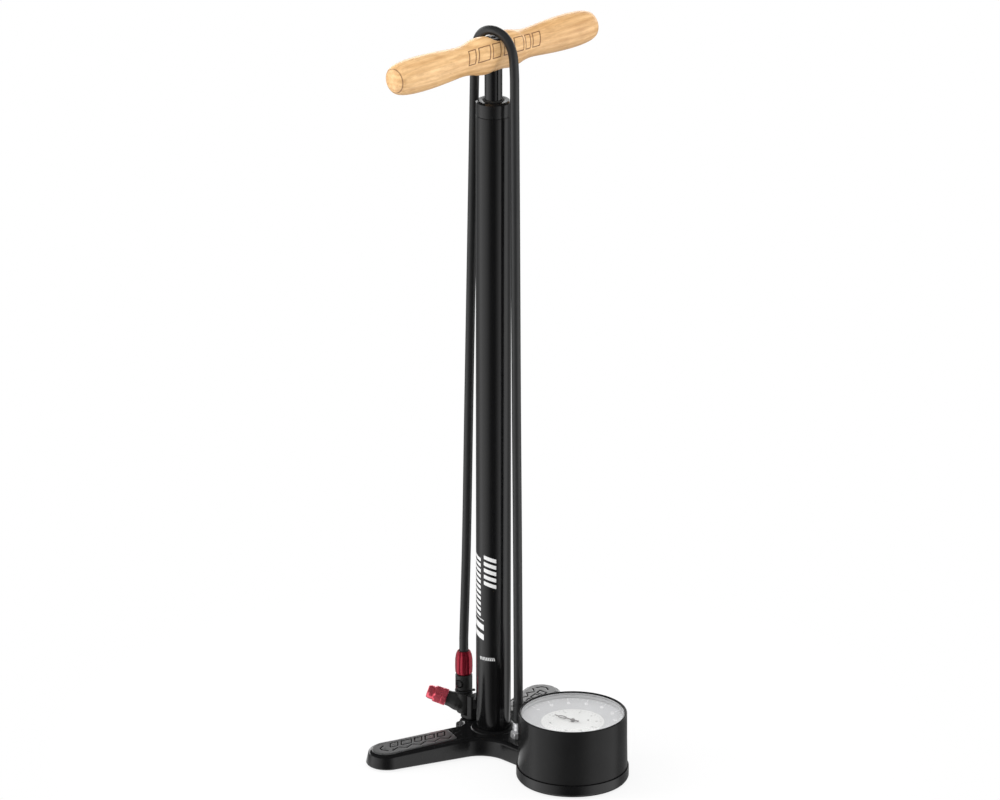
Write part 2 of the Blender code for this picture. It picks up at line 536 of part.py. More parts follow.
axis_lathe("nozzle_seal", [(1.6, 31.6), (3.5, 31.6), (3.5, 35.8), (1.6, 35.8)], BLACK_RUBBER,
                        NOZZLE_BASE, NOZZLE_DIR, 24)

# dock post on the rear stub of the hub, with a clip hugging the back of the barrel
low = rounded_rect(-5.6, 5.6, 24.8, 39.4, 3.0)
dock = plate("dock_post", low, 18.95, 22.0, BLACK_PLASTIC, None, (0, DOCK_Y, 18.95))
back = rounded_rect(-6.0, 6.0, 22.6, 29.6, 1.5)
boolean(dock, plate("cut_dock_back", back, 20.2, 42.5, None, cutters), 'UNION')
boolean(dock, lathe("cut_dock_bore", [(0, 19.4), (4.0, 19.4), (4.0, 50.0), (0, 50.0)], None, 0, DOCK_Y, 0, 24, cutters))
boolean(dock, lathe("cut_dock_clear", [(0, 22.2), (8.1, 22.2), (8.1, 50.0), (0, 50.0)], None, 0, CHUCK_Y - 1.0, 0, 32, cutters))

arc = []
for k in range(13):
    a = math.radians(42.0 + 96.0 * k / 12)
    arc.append((18.9 * math.cos(a), 18.9 * math.sin(a)))
for k in range(13):
    a = math.radians(138.0 - 96.0 * k / 12)
    arc.append((16.35 * math.cos(a), 16.35 * math.sin(a)))
clip = plate("dock_clip", arc, 36.5, 46.0, BLACK_PLASTIC, None, (0, 18.0, 36.5))
boolean(clip, box("cut_clip_bridge", (-4.5, 17.8, 37.5), (4.5, 22.3, 42.0), None, cutters), 'UNION')
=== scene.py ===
# Looks of the floor bike pump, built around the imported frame.
import bpy
import bmesh
import math
import numpy as np
from mathutils import Vector, Matrix
from mathutils.geometry import tessellate_polygon


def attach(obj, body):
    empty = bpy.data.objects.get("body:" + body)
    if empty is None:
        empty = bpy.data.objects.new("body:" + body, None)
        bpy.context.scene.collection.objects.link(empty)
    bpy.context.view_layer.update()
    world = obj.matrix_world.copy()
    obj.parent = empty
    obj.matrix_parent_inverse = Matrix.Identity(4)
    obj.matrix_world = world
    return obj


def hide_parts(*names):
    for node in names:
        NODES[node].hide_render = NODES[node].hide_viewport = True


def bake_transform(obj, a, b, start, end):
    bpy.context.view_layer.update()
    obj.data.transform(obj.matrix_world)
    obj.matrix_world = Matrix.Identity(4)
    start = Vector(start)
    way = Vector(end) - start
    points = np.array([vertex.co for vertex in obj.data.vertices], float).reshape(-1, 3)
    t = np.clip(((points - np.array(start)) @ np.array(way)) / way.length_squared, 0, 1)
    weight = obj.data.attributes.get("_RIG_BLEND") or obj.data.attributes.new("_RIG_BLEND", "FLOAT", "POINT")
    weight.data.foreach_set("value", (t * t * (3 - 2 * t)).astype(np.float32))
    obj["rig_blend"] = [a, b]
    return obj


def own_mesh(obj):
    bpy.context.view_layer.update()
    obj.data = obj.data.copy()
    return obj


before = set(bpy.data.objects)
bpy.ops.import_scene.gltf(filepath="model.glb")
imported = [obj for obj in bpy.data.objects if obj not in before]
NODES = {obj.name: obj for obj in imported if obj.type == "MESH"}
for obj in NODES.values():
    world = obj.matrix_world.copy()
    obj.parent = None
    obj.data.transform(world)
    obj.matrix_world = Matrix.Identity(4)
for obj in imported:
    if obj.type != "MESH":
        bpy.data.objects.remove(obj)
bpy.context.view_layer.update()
MM = 0.001

# ================================================================ dimensions, as in the CAD (mm)
BARREL_R, BARREL_IR, BARREL_Z0, BARREL_Z1 = 16.0, 14.0, 10.7, 611.5
ROD_R = 8.0
HANDLE_Z, HANDLE_HALF = 669.6, 125.0
NOTCH_R, NOTCH_Z = 10.4, 693.0
LEG_ANGLE, LEG_LEN, LEG_W, FRONT_W = 110.4, 106.9, 19.4, 21.0
LEG_TOP, LEG_FALL, FALL_START = 18.6, 0.045, 38.0
HUB_R, HUB_TOP = 21.6, 20.4
PAD_S0, PAD_W0, PAD_W1 = 41.0, 11.0, 14.2
GAUGE_Y, SKIRT_R, SKIRT_TOP = -103.2, 51.5, 12.5
CUP_R0, CUP_R1, CUP_Z0, CUP_Z1, CUP_WALL = 50.3, 49.6, 12.3, 64.5, 2.2
HOSE_R, HOSE_PORT_Y, CHUCK_Y, DOCK_Y = 4.2, -32.4, 39.1, 34.0
GAP = 0.3
LENS_R = CUP_R1 - CUP_WALL - GAP


# ================================================================ materials
def tree(name):
    m = bpy.data.materials.new(name)
    m.use_nodes = True
    nt = m.node_tree
    return m, nt, nt.nodes["Principled BSDF"]


def add(nt, kind, **props):
    n = nt.nodes.new(kind)
    for k, v in props.items():
        setattr(n, k, v)
    return n


def coords(nt, scale=(1, 1, 1), rot=(0, 0, 0), loc=(0, 0, 0)):
    tc = add(nt, "ShaderNodeTexCoord")
    mp = add(nt, "ShaderNodeMapping")
    mp.inputs["Scale"].default_value = scale
    mp.inputs["Rotation"].default_value = rot
    mp.inputs["Location"].default_value = loc
    nt.links.new(tc.outputs["Object"], mp.inputs["Vector"])
    return mp.outputs["Vector"]


def noise(nt, vec, scale, detail=4.0, rough=0.55, distort=0.0):
    n = add(nt, "ShaderNodeTexNoise")
    n.inputs["Scale"].default_value = scale
    n.inputs["Detail"].default_value = detail
    n.inputs["Roughness"].default_value = rough
    n.inputs["Distortion"].default_value = distort
    nt.links.new(vec, n.inputs["Vector"])
    return n.outputs["Fac"]


def span(nt, fac, lo, hi, a=0.3, b=0.7):
    """Map a factor from a..b onto lo..hi, clamped."""
    n = add(nt, "ShaderNodeMapRange")
    n.inputs["From Min"].default_value = a
    n.inputs["From Max"].default_value = b
    n.inputs["To Min"].default_value = lo
    n.inputs["To Max"].default_value = hi
    nt.links.new(fac, n.inputs["Value"])
    return n.outputs["Result"]


def mixc(nt, fac, c0, c1, mode='MIX'):
    n = add(nt, "ShaderNodeMix", data_type='RGBA', blend_type=mode)
    for sock, c in ((n.inputs[6], c0), (n.inputs[7], c1)):
        if isinstance(c, (tuple, list)):
            sock.default_value = (c[0], c[1], c[2], 1.0)
        else:
            nt.links.new(c, sock)
    if isinstance(fac, float):
        n.inputs[0].default_value = fac
    else:
        nt.links.new(fac, n.inputs[0])
    return n.outputs[2]


def math_node(nt, op, a, b=None, c=None, clamp=False):
    n = add(nt, "ShaderNodeMath", operation=op, use_clamp=clamp)
    for i, v in enumerate((a, b, c)):
        if v is None:
            continue
        if isinstance(v, (int, float)):
            n.inputs[i].default_value = v
        else:
            nt.links.new(v, n.inputs[i])
    return n.outputs[0]


def bump(nt, bsdf, height, strength, distance, sock="Normal"):
    n = add(nt, "ShaderNodeBump")
    n.inputs["Strength"].default_value = strength
    n.inputs["Distance"].default_value = distance
    nt.links.new(height, n.inputs["Height"])
    nt.links.new(n.outputs["Normal"], bsdf.inputs[sock])
    return n


def finish_of(name, rgb, rough, metallic=0.0, spec=0.5, coat=0.0, coat_rough=0.08, var=0.12, var_scale=35.0,
              rough_var=0.05, grain=1500.0, grain_h=0.00003, grain_s=0.25, stretch=(1, 1, 1), wear=0.0, sheen=0.0):
    """Painted, moulded or metal finish: soft colour drift, uneven gloss and a fine surface grain."""
    m, nt, b = tree(name)
    v = coords(nt, stretch)
    drift = noise(nt, v, var_scale, 5.0, 0.6)
    lo = tuple(max(0.0, c * (1.0 - var)) for c in rgb)
    hi = tuple(min(1.0, c * (1.0 + var)) for c in rgb)
    colour = mixc(nt, span(nt, drift, 0.0, 1.0), lo, hi)
    if wear > 0.0:
        w = noise(nt, v, 260.0, 8.0, 0.75)
        colour = mixc(nt, span(nt, w, 0.0, wear, 0.62, 0.8), colour, tuple(min(1.0, c * 2.2 + 0.03) for c in rgb))
    nt.links.new(colour, b.inputs["Base Color"])
    fine = noise(nt, v, grain, 3.0, 0.5)
    cloudy = noise(nt, v, var_scale * 3.0, 6.0, 0.65)
    r = span(nt, cloudy, max(0.02, rough - rough_var), rough + rough_var)
    nt.links.new(r, b.inputs["Roughness"])
    b.inputs["Metallic"].default_value = metallic
    b.inputs["Specular IOR Level"].default_value = spec
    b.inputs["Coat Weight"].default_value = coat
    b.inputs["Coat Roughness"].default_value = coat_rough
    b.inputs["Sheen Weight"].default_value = sheen
    bump(nt, b, fine, grain_s, grain_h)
    return m


def paint_with_bars(name, rgb, rough, spec):
    """Glossy barrel paint with the generic slanted bars printed low on its front."""
    m = finish_of(name, rgb, rough, 0.0, spec, 0.0, 0.05, 0.10, 18.0, 0.03, 700.0, 0.00002, 0.12)
    nt = m.node_tree
    b = nt.nodes["Principled BSDF"]
    tc = add(nt, "ShaderNodeTexCoord")
    sep = add(nt, "ShaderNodeSeparateXYZ")
    nt.links.new(tc.outputs["Object"], sep.inputs[0])
    x, y, z = sep.outputs[0], sep.outputs[1], sep.outputs[2]
    # arc length round the barrel in mm, zero in the print's own direction
    ang = math_node(nt, 'ARCTAN2', y, x)
    turn = math_node(nt, 'SUBTRACT', ang, math.radians(PRINT_DEG))
    wrapped = math_node(nt, 'WRAP', turn, math.pi, -math.pi)
    arc = math_node(nt, 'MULTIPLY', wrapped, BARREL_R)
    zz = math_node(nt, 'MULTIPLY', z, 1000.0)

    def band(value, lo, hi, soft=0.12):
        up = math_node(nt, 'DIVIDE', math_node(nt, 'SUBTRACT', value, lo), soft, clamp=True)
        dn = math_node(nt, 'DIVIDE', math_node(nt, 'SUBTRACT', hi, value), soft, clamp=True)
        return math_node(nt, 'MULTIPLY', up, dn)

    def column(a0, a1, z0, z1, pitch, share, slant):
        """A column of slanted dashes between two arc positions and two heights."""
        q = math_node(nt, 'ADD', zz, math_node(nt, 'MULTIPLY', arc, slant))
        f = math_node(nt, 'FRACT', math_node(nt, 'DIVIDE', math_node(nt, 'SUBTRACT', q, z0), pitch))
        dash = band(f, 0.0, share, 0.12 / pitch)
        return math_node(nt, 'MULTIPLY', dash, math_node(nt, 'MULTIPLY', band(arc, a0, a1), band(q, z0 + 0.01, z1)))

    parts = [column(-5.6, 6.4, 163.4, 193.4, 6.3, 0.60, 0.30),
             column(-20.8, -9.2, 130.0, 187.6, 5.4, 0.60, 0.30),
             column(-21.0, -5.6, 108.2, 128.0, 9.4, 0.62, 0.30)]
    # a short row of small marks lower down
    row = math_node(nt, 'FRACT', math_node(nt, 'DIVIDE', math_node(nt, 'ADD', arc, math_node(nt, 'MULTIPLY', zz, 0.3)), 1.75))
    parts.append(math_node(nt, 'MULTIPLY', band(row, 0.0, 0.62, 0.1), math_node(nt, 'MULTIPLY', band(arc, -10.2, 5.2), band(zz, 90.4, 93.6))))
    total = parts[0]
    for p in parts[1:]:
        total = math_node(nt, 'MAXIMUM', total, p)
    ink_wear = span(nt, noise(nt, coords(nt), 900.0, 5.0, 0.7), 0.86, 1.0, 0.35, 0.5)
    total = math_node(nt, 'MULTIPLY', total, ink_wear)
    old = b.inputs["Base Color"].links[0].from_socket
    nt.links.new(mixc(nt, total, old, (0.78, 0.78, 0.78)), b.inputs["Base Color"])
    return m


def wood_material(name):
    """Varnished light hardwood, grain along X: broad figure, fibre streaks, small dark flecks."""
    m, nt, b = tree(name)
    warp = noise(nt, coords(nt, (5.0, 14.0, 14.0)), 1.0, 3.0, 0.5)
    rings = add(nt, "ShaderNodeTexWave", wave_type='RINGS', rings_direction='X', wave_profile='SIN')
    rings.inputs["Scale"].default_value = 1.0
    rings.inputs["Distortion"].default_value = 5.5
    rings.inputs["Detail"].default_value = 3.0
    rings.inputs["Detail Scale"].default_value = 1.2
    rings.inputs["Detail Roughness"].default_value = 0.55
    nt.links.new(coords(nt, (7.0, 62.0, 62.0), (0.0, 0.05, 0.03), (0.0, 0.012, -0.03)), rings.inputs["Vector"])
    broad = noise(nt, coords(nt, (10.0, 45.0, 45.0)), 1.0, 4.0, 0.55, 0.3)
    fibre = noise(nt, coords(nt, (28.0, 1300.0, 1300.0)), 1.0, 4.0, 0.6)
    fleck = noise(nt, coords(nt, (210.0, 1900.0, 1900.0)), 1.0, 2.0, 0.5)
    pale, mid, deep = (0.93, 0.61, 0.30), (0.70, 0.395, 0.155), (0.40, 0.185, 0.058)
    c = mixc(nt, span(nt, rings.outputs["Fac"], 0.0, 0.55, 0.15, 0.95), pale, mid)
    c = mixc(nt, span(nt, broad, 0.0, 0.75, 0.35, 0.72), c, mid)
    c = mixc(nt, span(nt, warp, 0.0, 0.45, 0.42, 0.70), c, deep)
    blotch = noise(nt, coords(nt, (60.0, 110.0, 110.0)), 1.0, 5.0, 0.65)
    c = mixc(nt, span(nt, blotch, 0.0, 0.30, 0.45, 0.68), c, deep)
    c = mixc(nt, span(nt, fibre, 0.0, 0.30, 0.45, 0.8), c, deep)
    streak = noise(nt, coords(nt, (34.0, 300.0, 300.0)), 1.0, 4.0, 0.6, 0.4)
    c = mixc(nt, span(nt, streak, 0.0, 0.38, 0.48, 0.72), c, deep)
    c = mixc(nt, span(nt, streak, 0.50, 0.0, 0.30, 0.46), c, pale)
    c = mixc(nt, span(nt, fleck, 0.0, 0.55, 0.66, 0.76), c, (0.42, 0.21, 0.075))
    # burned ornament strokes darken the wood here, and so does painted shade along the end crease, both through this
    # mesh attribute
    burn_and_crease_shade = add(nt, "ShaderNodeAttribute", attribute_name="burn_and_crease_shade")
    c = mixc(nt, burn_and_crease_shade.outputs["Fac"], c, (0.17, 0.072, 0.024))
    nt.links.new(c, b.inputs["Base Color"])
    r = span(nt, fibre, 0.34, 0.50)
    r = math_node(nt, 'ADD', r, math_node(nt, 'MULTIPLY', burn_and_crease_shade.outputs["Fac"], 0.25))
    nt.links.new(r, b.inputs["Roughness"])
    b.inputs["Specular IOR Level"].default_value = 0.45
    b.inputs["Coat Weight"].default_value = 0.35
    b.inputs["Coat Roughness"].default_value = 0.22
    h = math_node(nt, 'ADD', math_node(nt, 'MULTIPLY', fibre, 0.6), math_node(nt, 'MULTIPLY', fleck, -0.5))
    bump(nt, b, h, 0.25, 0.00006)
    return m


def pad_material(name):
    """Grey rubber tread; its grooves are darker, by the groove attribute of the mesh."""
    m = finish_of(name, (0.052, 0.052, 0.052), 0.30, 0.0, 0.75, 0.0, 0.1, 0.10, 60.0, 0.05, 2600.0, 0.00003, 0.2)
    nt = m.node_tree
    b = nt.nodes["Principled BSDF"]
    g = add(nt, "ShaderNodeAttribute", attribute_name="groove")
    old = b.inputs["Base Color"].links[0].from_socket
    dust = noise(nt, coords(nt), 420.0, 6.0, 0.7)
    old = mixc(nt, span(nt, dust, 0.0, 0.35, 0.5, 0.75), old, (0.066, 0.066, 0.065))
    nt.links.new(mixc(nt, g.outputs["Fac"], old, (0.003, 0.003, 0.003)), b.inputs["Base Color"])
    shine = math_node(nt, 'MULTIPLY', math_node(nt, 'SUBTRACT', 1.0, g.outputs["Fac"]), 0.85)
    nt.links.new(shine, b.inputs["Specular IOR Level"])
    return m


def glass_material(name):
    """Thin clear window: mostly see-through, a little gloss and haze."""
    m, nt, b = tree(name)
    b.inputs["Base Color"].default_value = (0.92, 0.93, 0.93, 1.0)
    b.inputs["Alpha"].default_value = 0.07
    b.inputs["Specular IOR Level"].default_value = 1.0
    smear = noise(nt, coords(nt), 55.0, 5.0, 0.6)
    nt.links.new(span(nt, smear, 0.02, 0.08), b.inputs["Roughness"])
    return m


def anodised(name, rgb):
    m, nt, b = tree(name)
    v = coords(nt)
    drift = noise(nt, v, 90.0, 5.0, 0.6)
    c = mixc(nt, span(nt, drift, 0.0, 1.0), tuple(x * 0.86 for x in rgb), tuple(min(1.0, x * 1.15) for x in rgb))
    nt.links.new(c, b.inputs["Base Color"])
    turn_marks = noise(nt, coords(nt, (150.0, 150.0, 700.0)), 1.0, 3.0, 0.5)
    nt.links.new(span(nt, turn_marks, 0.27, 0.33), b.inputs["Roughness"])
    b.inputs["Metallic"].default_value = 0.80
    b.inputs["Coat Weight"].default_value = 0.25
    b.inputs["Coat Roughness"].default_value = 0.16
    bump(nt, b, turn_marks, 0.015, 0.00001)
    return m


PRINT_DEG = 212.0
M = {}
M["barrel"] = paint_with_bars("barrel_black_paint", (0.0045, 0.0045, 0.0048), 0.17, 0.42)
M["cap"] = finish_of("cap_black", (0.006, 0.006, 0.0062), 0.24, 0.0, 0.45, 0.0, 0.05, 0.12, 40.0, 0.04, 900.0, 0.00002, 0.15)
M["rod"] = finish_of("rod_black", (0.005, 0.005, 0.0053), 0.13, 0.0, 0.5, 0.0, 0.05, 0.10, 30.0, 0.03, 900.0, 0.00001, 0.08,
                     (1, 1, 0.05))
M["base"] = finish_of("base_black_paint", (0.0055, 0.0055, 0.0058), 0.18, 0.0, 0.40, 0.0, 0.05, 0.12, 30.0, 0.04, 650.0, 0.00004, 0.16,
                      wear=0.05)
M["housing"] = finish_of("housing_black", (0.0115, 0.0115, 0.0117), 0.17, 0.0, 0.17, 0.0, 0.1, 0.10, 40.0, 0.04, 2400.0,
                         0.00002, 0.12)
M["plastic"] = finish_of("black_plastic", (0.010, 0.010, 0.0102), 0.42, 0.0, 0.26, 0.0, 0.1, 0.15, 60.0, 0.06, 2600.0, 0.00004, 0.4)
M["chuck"] = finish_of("chuck_black", (0.016, 0.016, 0.0155), 0.42, 0.0, 0.42, 0.0, 0.1, 0.18, 90.0, 0.06, 2600.0, 0.00005, 0.45)
M["rubber"] = finish_of("black_rubber", (0.016, 0.016, 0.016), 0.70, 0.0, 0.3, 0.0, 0.1, 0.15, 60.0, 0.08, 1800.0, 0.00006, 0.5,
                        sheen=0.05)
M["hose"] = finish_of("hose_rubber", (0.017, 0.0175, 0.018), 0.42, 0.0, 0.45, 0.0, 0.1, 0.12, 45.0, 0.05, 2200.0, 0.00005, 0.35,
                      (1, 1, 0.35))
M["chrome"] = finish_of("bright_chrome", (0.90, 0.90, 0.91), 0.16, 0.72, 0.9, 0.0, 0.1, 0.05, 120.0, 0.04, 1200.0, 0.00001, 0.08)
M["steel"] = finish_of("plain_steel", (0.46, 0.46, 0.47), 0.32, 1.0, 0.5, 0.0, 0.1, 0.12, 120.0, 0.08, 1500.0, 0.00002, 0.2)
M["black_steel"] = finish_of("blackened_steel", (0.03, 0.03, 0.032), 0.34, 0.8, 0.5, 0.0, 0.1, 0.15, 150.0, 0.08, 1500.0, 0.00002, 0.2)
M["brass"] = finish_of("plain_brass", (0.60, 0.42, 0.16), 0.30, 1.0, 0.5, 0.0, 0.1, 0.15, 120.0, 0.08, 1500.0, 0.00002, 0.2)
M["red"] = anodised("red_anodised", (0.34, 0.014, 0.034))
# a lighter copy of the red anodised finish for the nut: its extra brightness is painted light standing in for
# highlights
M["red_nut"] = anodised("red_anodised_lit_nut", (0.90, 0.13, 0.18))
M["wood"] = wood_material("varnished_wood")
M["pad"] = pad_material("grey_tread_rubber")
M["glass"] = glass_material("clear_lens")
M["dial"] = finish_of("dial_outer_grey", (0.52, 0.52, 0.53), 0.5, 0.0, 0.3, 0.0, 0.1, 0.03, 60.0, 0.04, 2600.0, 0.00002, 0.15)
M["dial_white"] = finish_of("dial_inner_white", (0.73, 0.73, 0.72), 0.55, 0.0, 0.3, 0.0, 0.1, 0.02, 60.0, 0.04, 2600.0, 0.00002, 0.15)
M["ring"] = finish_of("bevel_ring_grey", (0.44, 0.44, 0.445), 0.45, 0.0, 0.4, 0.0, 0.1, 0.04, 60.0, 0.04, 2600.0, 0.00002, 0.2)
M["ink_light"] = finish_of("dial_ink_light", (0.88, 0.88, 0.88), 0.5, 0.0, 0.3, 0.0, 0.1, 0.02, 90.0, 0.03, 2600.0, 0.00001, 0.1)
M["ink_dark"] = finish_of("dial_ink_dark", (0.16, 0.16, 0.16), 0.5, 0.0, 0.3, 0.0, 0.1, 0.05, 90.0, 0.03, 2600.0, 0.00001, 0.1)
M["pointer"] = finish_of("pointer_black", (0.20, 0.19, 0.185), 0.45, 0.0, 0.4, 0.0, 0.1, 0.05, 90.0, 0.03, 2600.0, 0.00001, 0.1)


# ================================================================ mesh helpers
def rounded(pts, radii, steps=6):
    """Polyline with its inner corners rounded; radii is one number or one for each point."""
    if isinstance(radii, (int, float)):
        radii = [radii] * len(pts)
    out = [tuple(pts[0])]
    for i in range(1, len(pts) - 1):
        p0, p1, p2 = (Vector(pts[k]) for k in (i - 1, i, i + 1))
        a, c = p0 - p1, p2 - p1
        la, lc = a.length, c.length
        r = radii[i]
        if r <= 0 or la < 1e-6 or lc < 1e-6:
            out.append(tuple(p1))
            continue
        a.normalize()
        c.normalize()
        phi = math.acos(max(-1.0, min(1.0, a.dot(c))))
        if phi > math.pi - 0.02:
            out.append(tuple(p1))
            continue
        t = min(r / math.tan(phi / 2), 0.48 * la, 0.48 * lc)
        r = t * math.tan(phi / 2)
        bis = (a + c).normalized()
        centre = p1 + bis * (r / math.sin(phi / 2))
        s, e = p1 + a * t - centre, p1 + c * t - centre
        a0, a1 = math.atan2(s.y, s.x), math.atan2(e.y, e.x)
        d = (a1 - a0 + math.pi) % (2 * math.pi) - math.pi
        for k in range(steps + 1):
            q = a0 + d * k / steps
            out.append((centre.x + r * math.cos(q), centre.y + r * math.sin(q)))
    out.append(tuple(pts[-1]))
    return out


def mesh_object(name, verts, faces, mat=None, sharp=38.0):
    me = bpy.data.meshes.new(name)
    me.from_pydata([tuple(v) for v in verts], [], faces)
    bm = bmesh.new()
    bm.from_mesh(me)
    bmesh.ops.remove_doubles(bm, verts=bm.verts, dist=1e-7)
    bmesh.ops.recalc_face_normals(bm, faces=bm.faces)
    bm.to_mesh(me)
    bm.free()
    return wrap(name, me, mat, sharp)


def wrap(name, me, mat, sharp=38.0):
    me.shade_smooth()
    if sharp:
        me.set_sharp_from_angle(angle=math.radians(sharp))
    if mat is not None:
        me.materials.clear()
        me.materials.append(mat)
    ob = bpy.data.objects.new(name, me)
    bpy.context.scene.collection.objects.link(ob)
    return ob


def to_frame(base, direction):
    """Matrix that takes local Z onto a direction at a base point, in mm."""
    q = Vector((0, 0, 1)).rotation_difference(Vector(direction).normalized())
    return Matrix.Translation(Vector(base)) @ q.to_matrix().to_4x4()


def lathe(name, profile, mat, x=0.0, y=0.0, segs=96, radial=None, matrix=None, sharp=38.0, phase=0.0):
    """Turned solid from an (r, z) profile in mm. radial(r, z, angle) may shape the radius."""
    verts, rings = [], []
    for r, z in profile:
        if r < 1e-6:
            rings.append([len(verts)])
            verts.append(Vector((0, 0, z)))
        else:
            ring = []
            for k in range(segs):
                a = phase + 2 * math.pi * k / segs
                rr = radial(r, z, a) if radial else r
                ring.append(len(verts))
                verts.append(Vector((rr * math.cos(a), rr * math.sin(a), z)))
            rings.append(ring)
    n = len(rings)
    closed = len(rings[0]) > 1 and len(rings[-1]) > 1
    faces = []
    for i in range(n if closed else n - 1):
        a, b = rings[i], rings[(i + 1) % n]
        for k in range(segs):
            k1 = (k + 1) % segs
            if len(a) == 1 and len(b) == 1:
                continue
            if len(a) == 1:
                faces.append((a[0], b[k1], b[k]))
            elif len(b) == 1:
                faces.append((a[k], a[k1], b[0]))
            else:
                faces.append((a[k], a[k1], b[k1], b[k]))
    t = matrix or Matrix.Translation((x, y, 0.0))
    return mesh_object(name, [(t @ v) * MM for v in verts], faces, mat, sharp)


def stack(name, loops, mat, sharp=38.0):
    """Closed solid through stacked loops with equal counts; the ends are capped in plan."""
    n = len(loops[0])
    bm = bmesh.new()
    rings = [[bm.verts.new(Vector(p) * MM) for p in lp] for lp in loops]
    for lower, upper in zip(rings[:-1], rings[1:]):
        for k in range(n):
            bm.faces.new((lower[k], lower[(k + 1) % n], upper[(k + 1) % n], upper[k]))
    bm.faces.new(list(reversed(rings[0])))
    bm.faces.new(rings[-1])
    bmesh.ops.recalc_face_normals(bm, faces=bm.faces)
    me = bpy.data.meshes.new(name)
    bm.to_mesh(me)
    bm.free()
    return wrap(name, me, mat, sharp)


def cut(ob, cutter, op='DIFFERENCE', solver='EXACT'):
    """Apply a Boolean and drop the cutter."""
    md = ob.modifiers.new("cut", 'BOOLEAN')
    md.operation = op
    md.solver = solver
    md.object = cutter
    bpy.context.view_layer.update()
    dg = bpy.context.evaluated_depsgraph_get()
    me = bpy.data.meshes.new_from_object(ob.evaluated_get(dg))
    ob.modifiers.clear()
    old = ob.data
    ob.data = me
    bpy.data.meshes.remove(old)
    bpy.data.objects.remove(cutter)
    return ob


def apply_all(ob):
    bpy.context.view_layer.update()
    dg = bpy.context.evaluated_depsgraph_get()
    me = bpy.data.meshes.new_from_object(ob.evaluated_get(dg))
    ob.modifiers.clear()
    old = ob.data
    ob.data = me
    bpy.data.meshes.remove(old)
    return ob


def remesh(ob, voxel, smooth=2, factor=0.5):
    """Moulded look: one skin with small even roundings."""
    md = ob.modifiers.new("skin", 'REMESH')
    md.mode = 'VOXEL'
    md.voxel_size = voxel * MM
    md.use_smooth_shade = True
    sm = ob.modifiers.new("soft", 'SMOOTH')
    sm.iterations = smooth
    sm.factor = factor
    apply_all(ob)
    ob.data.shade_smooth()
    return ob


def sharpen(ob, mat, angle=32.0):
    ob.data.shade_smooth()
    ob.data.set_sharp_from_angle(angle=math.radians(angle))
    ob.data.materials.clear()
    ob.data.materials.append(mat)
    return ob


def join(name, obs, mat):
    """One mesh of several."""
    bm = bmesh.new()
    for o in obs:
        bm.from_mesh(o.data)
    me = bpy.data.meshes.new(name)
    bm.to_mesh(me)
    bm.free()
    for o in obs:
        bpy.data.objects.remove(o)
    return wrap(name, me, mat, 38.0)


def piece(ob, body, slot=None, *nodes):
    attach(ob, body)
    if nodes:
        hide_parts(*nodes)
    return ob


# ================================================================ stage, camera, light
def make_camera():
    cam = bpy.data.cameras.new("camera")
    cam.sensor_width = 36.0
    cam.lens = 246.57
    cam.shift_x = 0.00654
    cam.shift_y = 0.0
    cam.clip_end = 100.0
    ob = bpy.data.objects.new("camera", cam)
    a, dist, h = math.radians(-44.43), 5.83697, 2.47359
    ob.location = (math.sin(a) * dist, -math.cos(a) * dist, h)
    ob.rotation_euler = (math.radians(90.0 - 20.08), 0.0, a)
    bpy.context.scene.collection.objects.link(ob)
    bpy.context.scene.camera = ob


def area(name, loc, target, size, size_y, power, colour=(1, 1, 1), spread=None):
    l = bpy.data.lights.new(name, 'AREA')
    l.shape = 'RECTANGLE'
    l.size, l.size_y = size, size_y
    l.energy = power
    l.color = colour
    if spread:
        l.spread = spread
    ob = bpy.data.objects.new(name, l)
    ob.location = loc
    d = Vector(target) - Vector(loc)
    ob.rotation_euler = d.to_track_quat('-Z', 'Y').to_euler()
    ob.visible_camera = False
    bpy.context.scene.collection.objects.link(ob)
    return ob


# brightness that mirror-like pieces meet, by compass angle round the pump: a broad soft light each side, dark in front
SECTORS = [(-180, 0.85), (-170, 0.61), (-156, 0.175), (-145, 0.06), (-124, 0.06), (-111, 0.38), (-97, 0.92), (-90, 1.15), (-70, 1.36),
           (-43, 1.36), (-21, 0.32), (0, 0.26), (45, 0.26), (100, 0.30), (114, 0.64), (136, 1.6), (168, 1.15), (180, 0.85)]
SIDE_MAX = 3.0


def sector_light(nt, x, y, stops):
    """Grey level by compass angle, through a colour ramp."""
    az = math_node(nt, 'ARCTAN2', y, x)
    f = math_node(nt, 'ADD', math_node(nt, 'DIVIDE', az, 2.0 * math.pi), 0.5)
    cr = add(nt, "ShaderNodeValToRGB")
    cr.color_ramp.interpolation = 'LINEAR'
    els = cr.color_ramp.elements
    while len(els) > 1:
        els.remove(els[-1])
    for k, (deg, v) in enumerate(stops):
        e = els[0] if k == 0 else els.new(deg / 360.0 + 0.5)
        e.position = deg / 360.0 + 0.5
        g = v / SIDE_MAX
        e.color = (g, g, g, 1.0)
    nt.links.new(f, cr.inputs["Fac"])
    bw = add(nt, "ShaderNodeRGBToBW")
    nt.links.new(cr.outputs["Color"], bw.inputs[0])
    return math_node(nt, 'MULTIPLY', bw.outputs[0], SIDE_MAX)


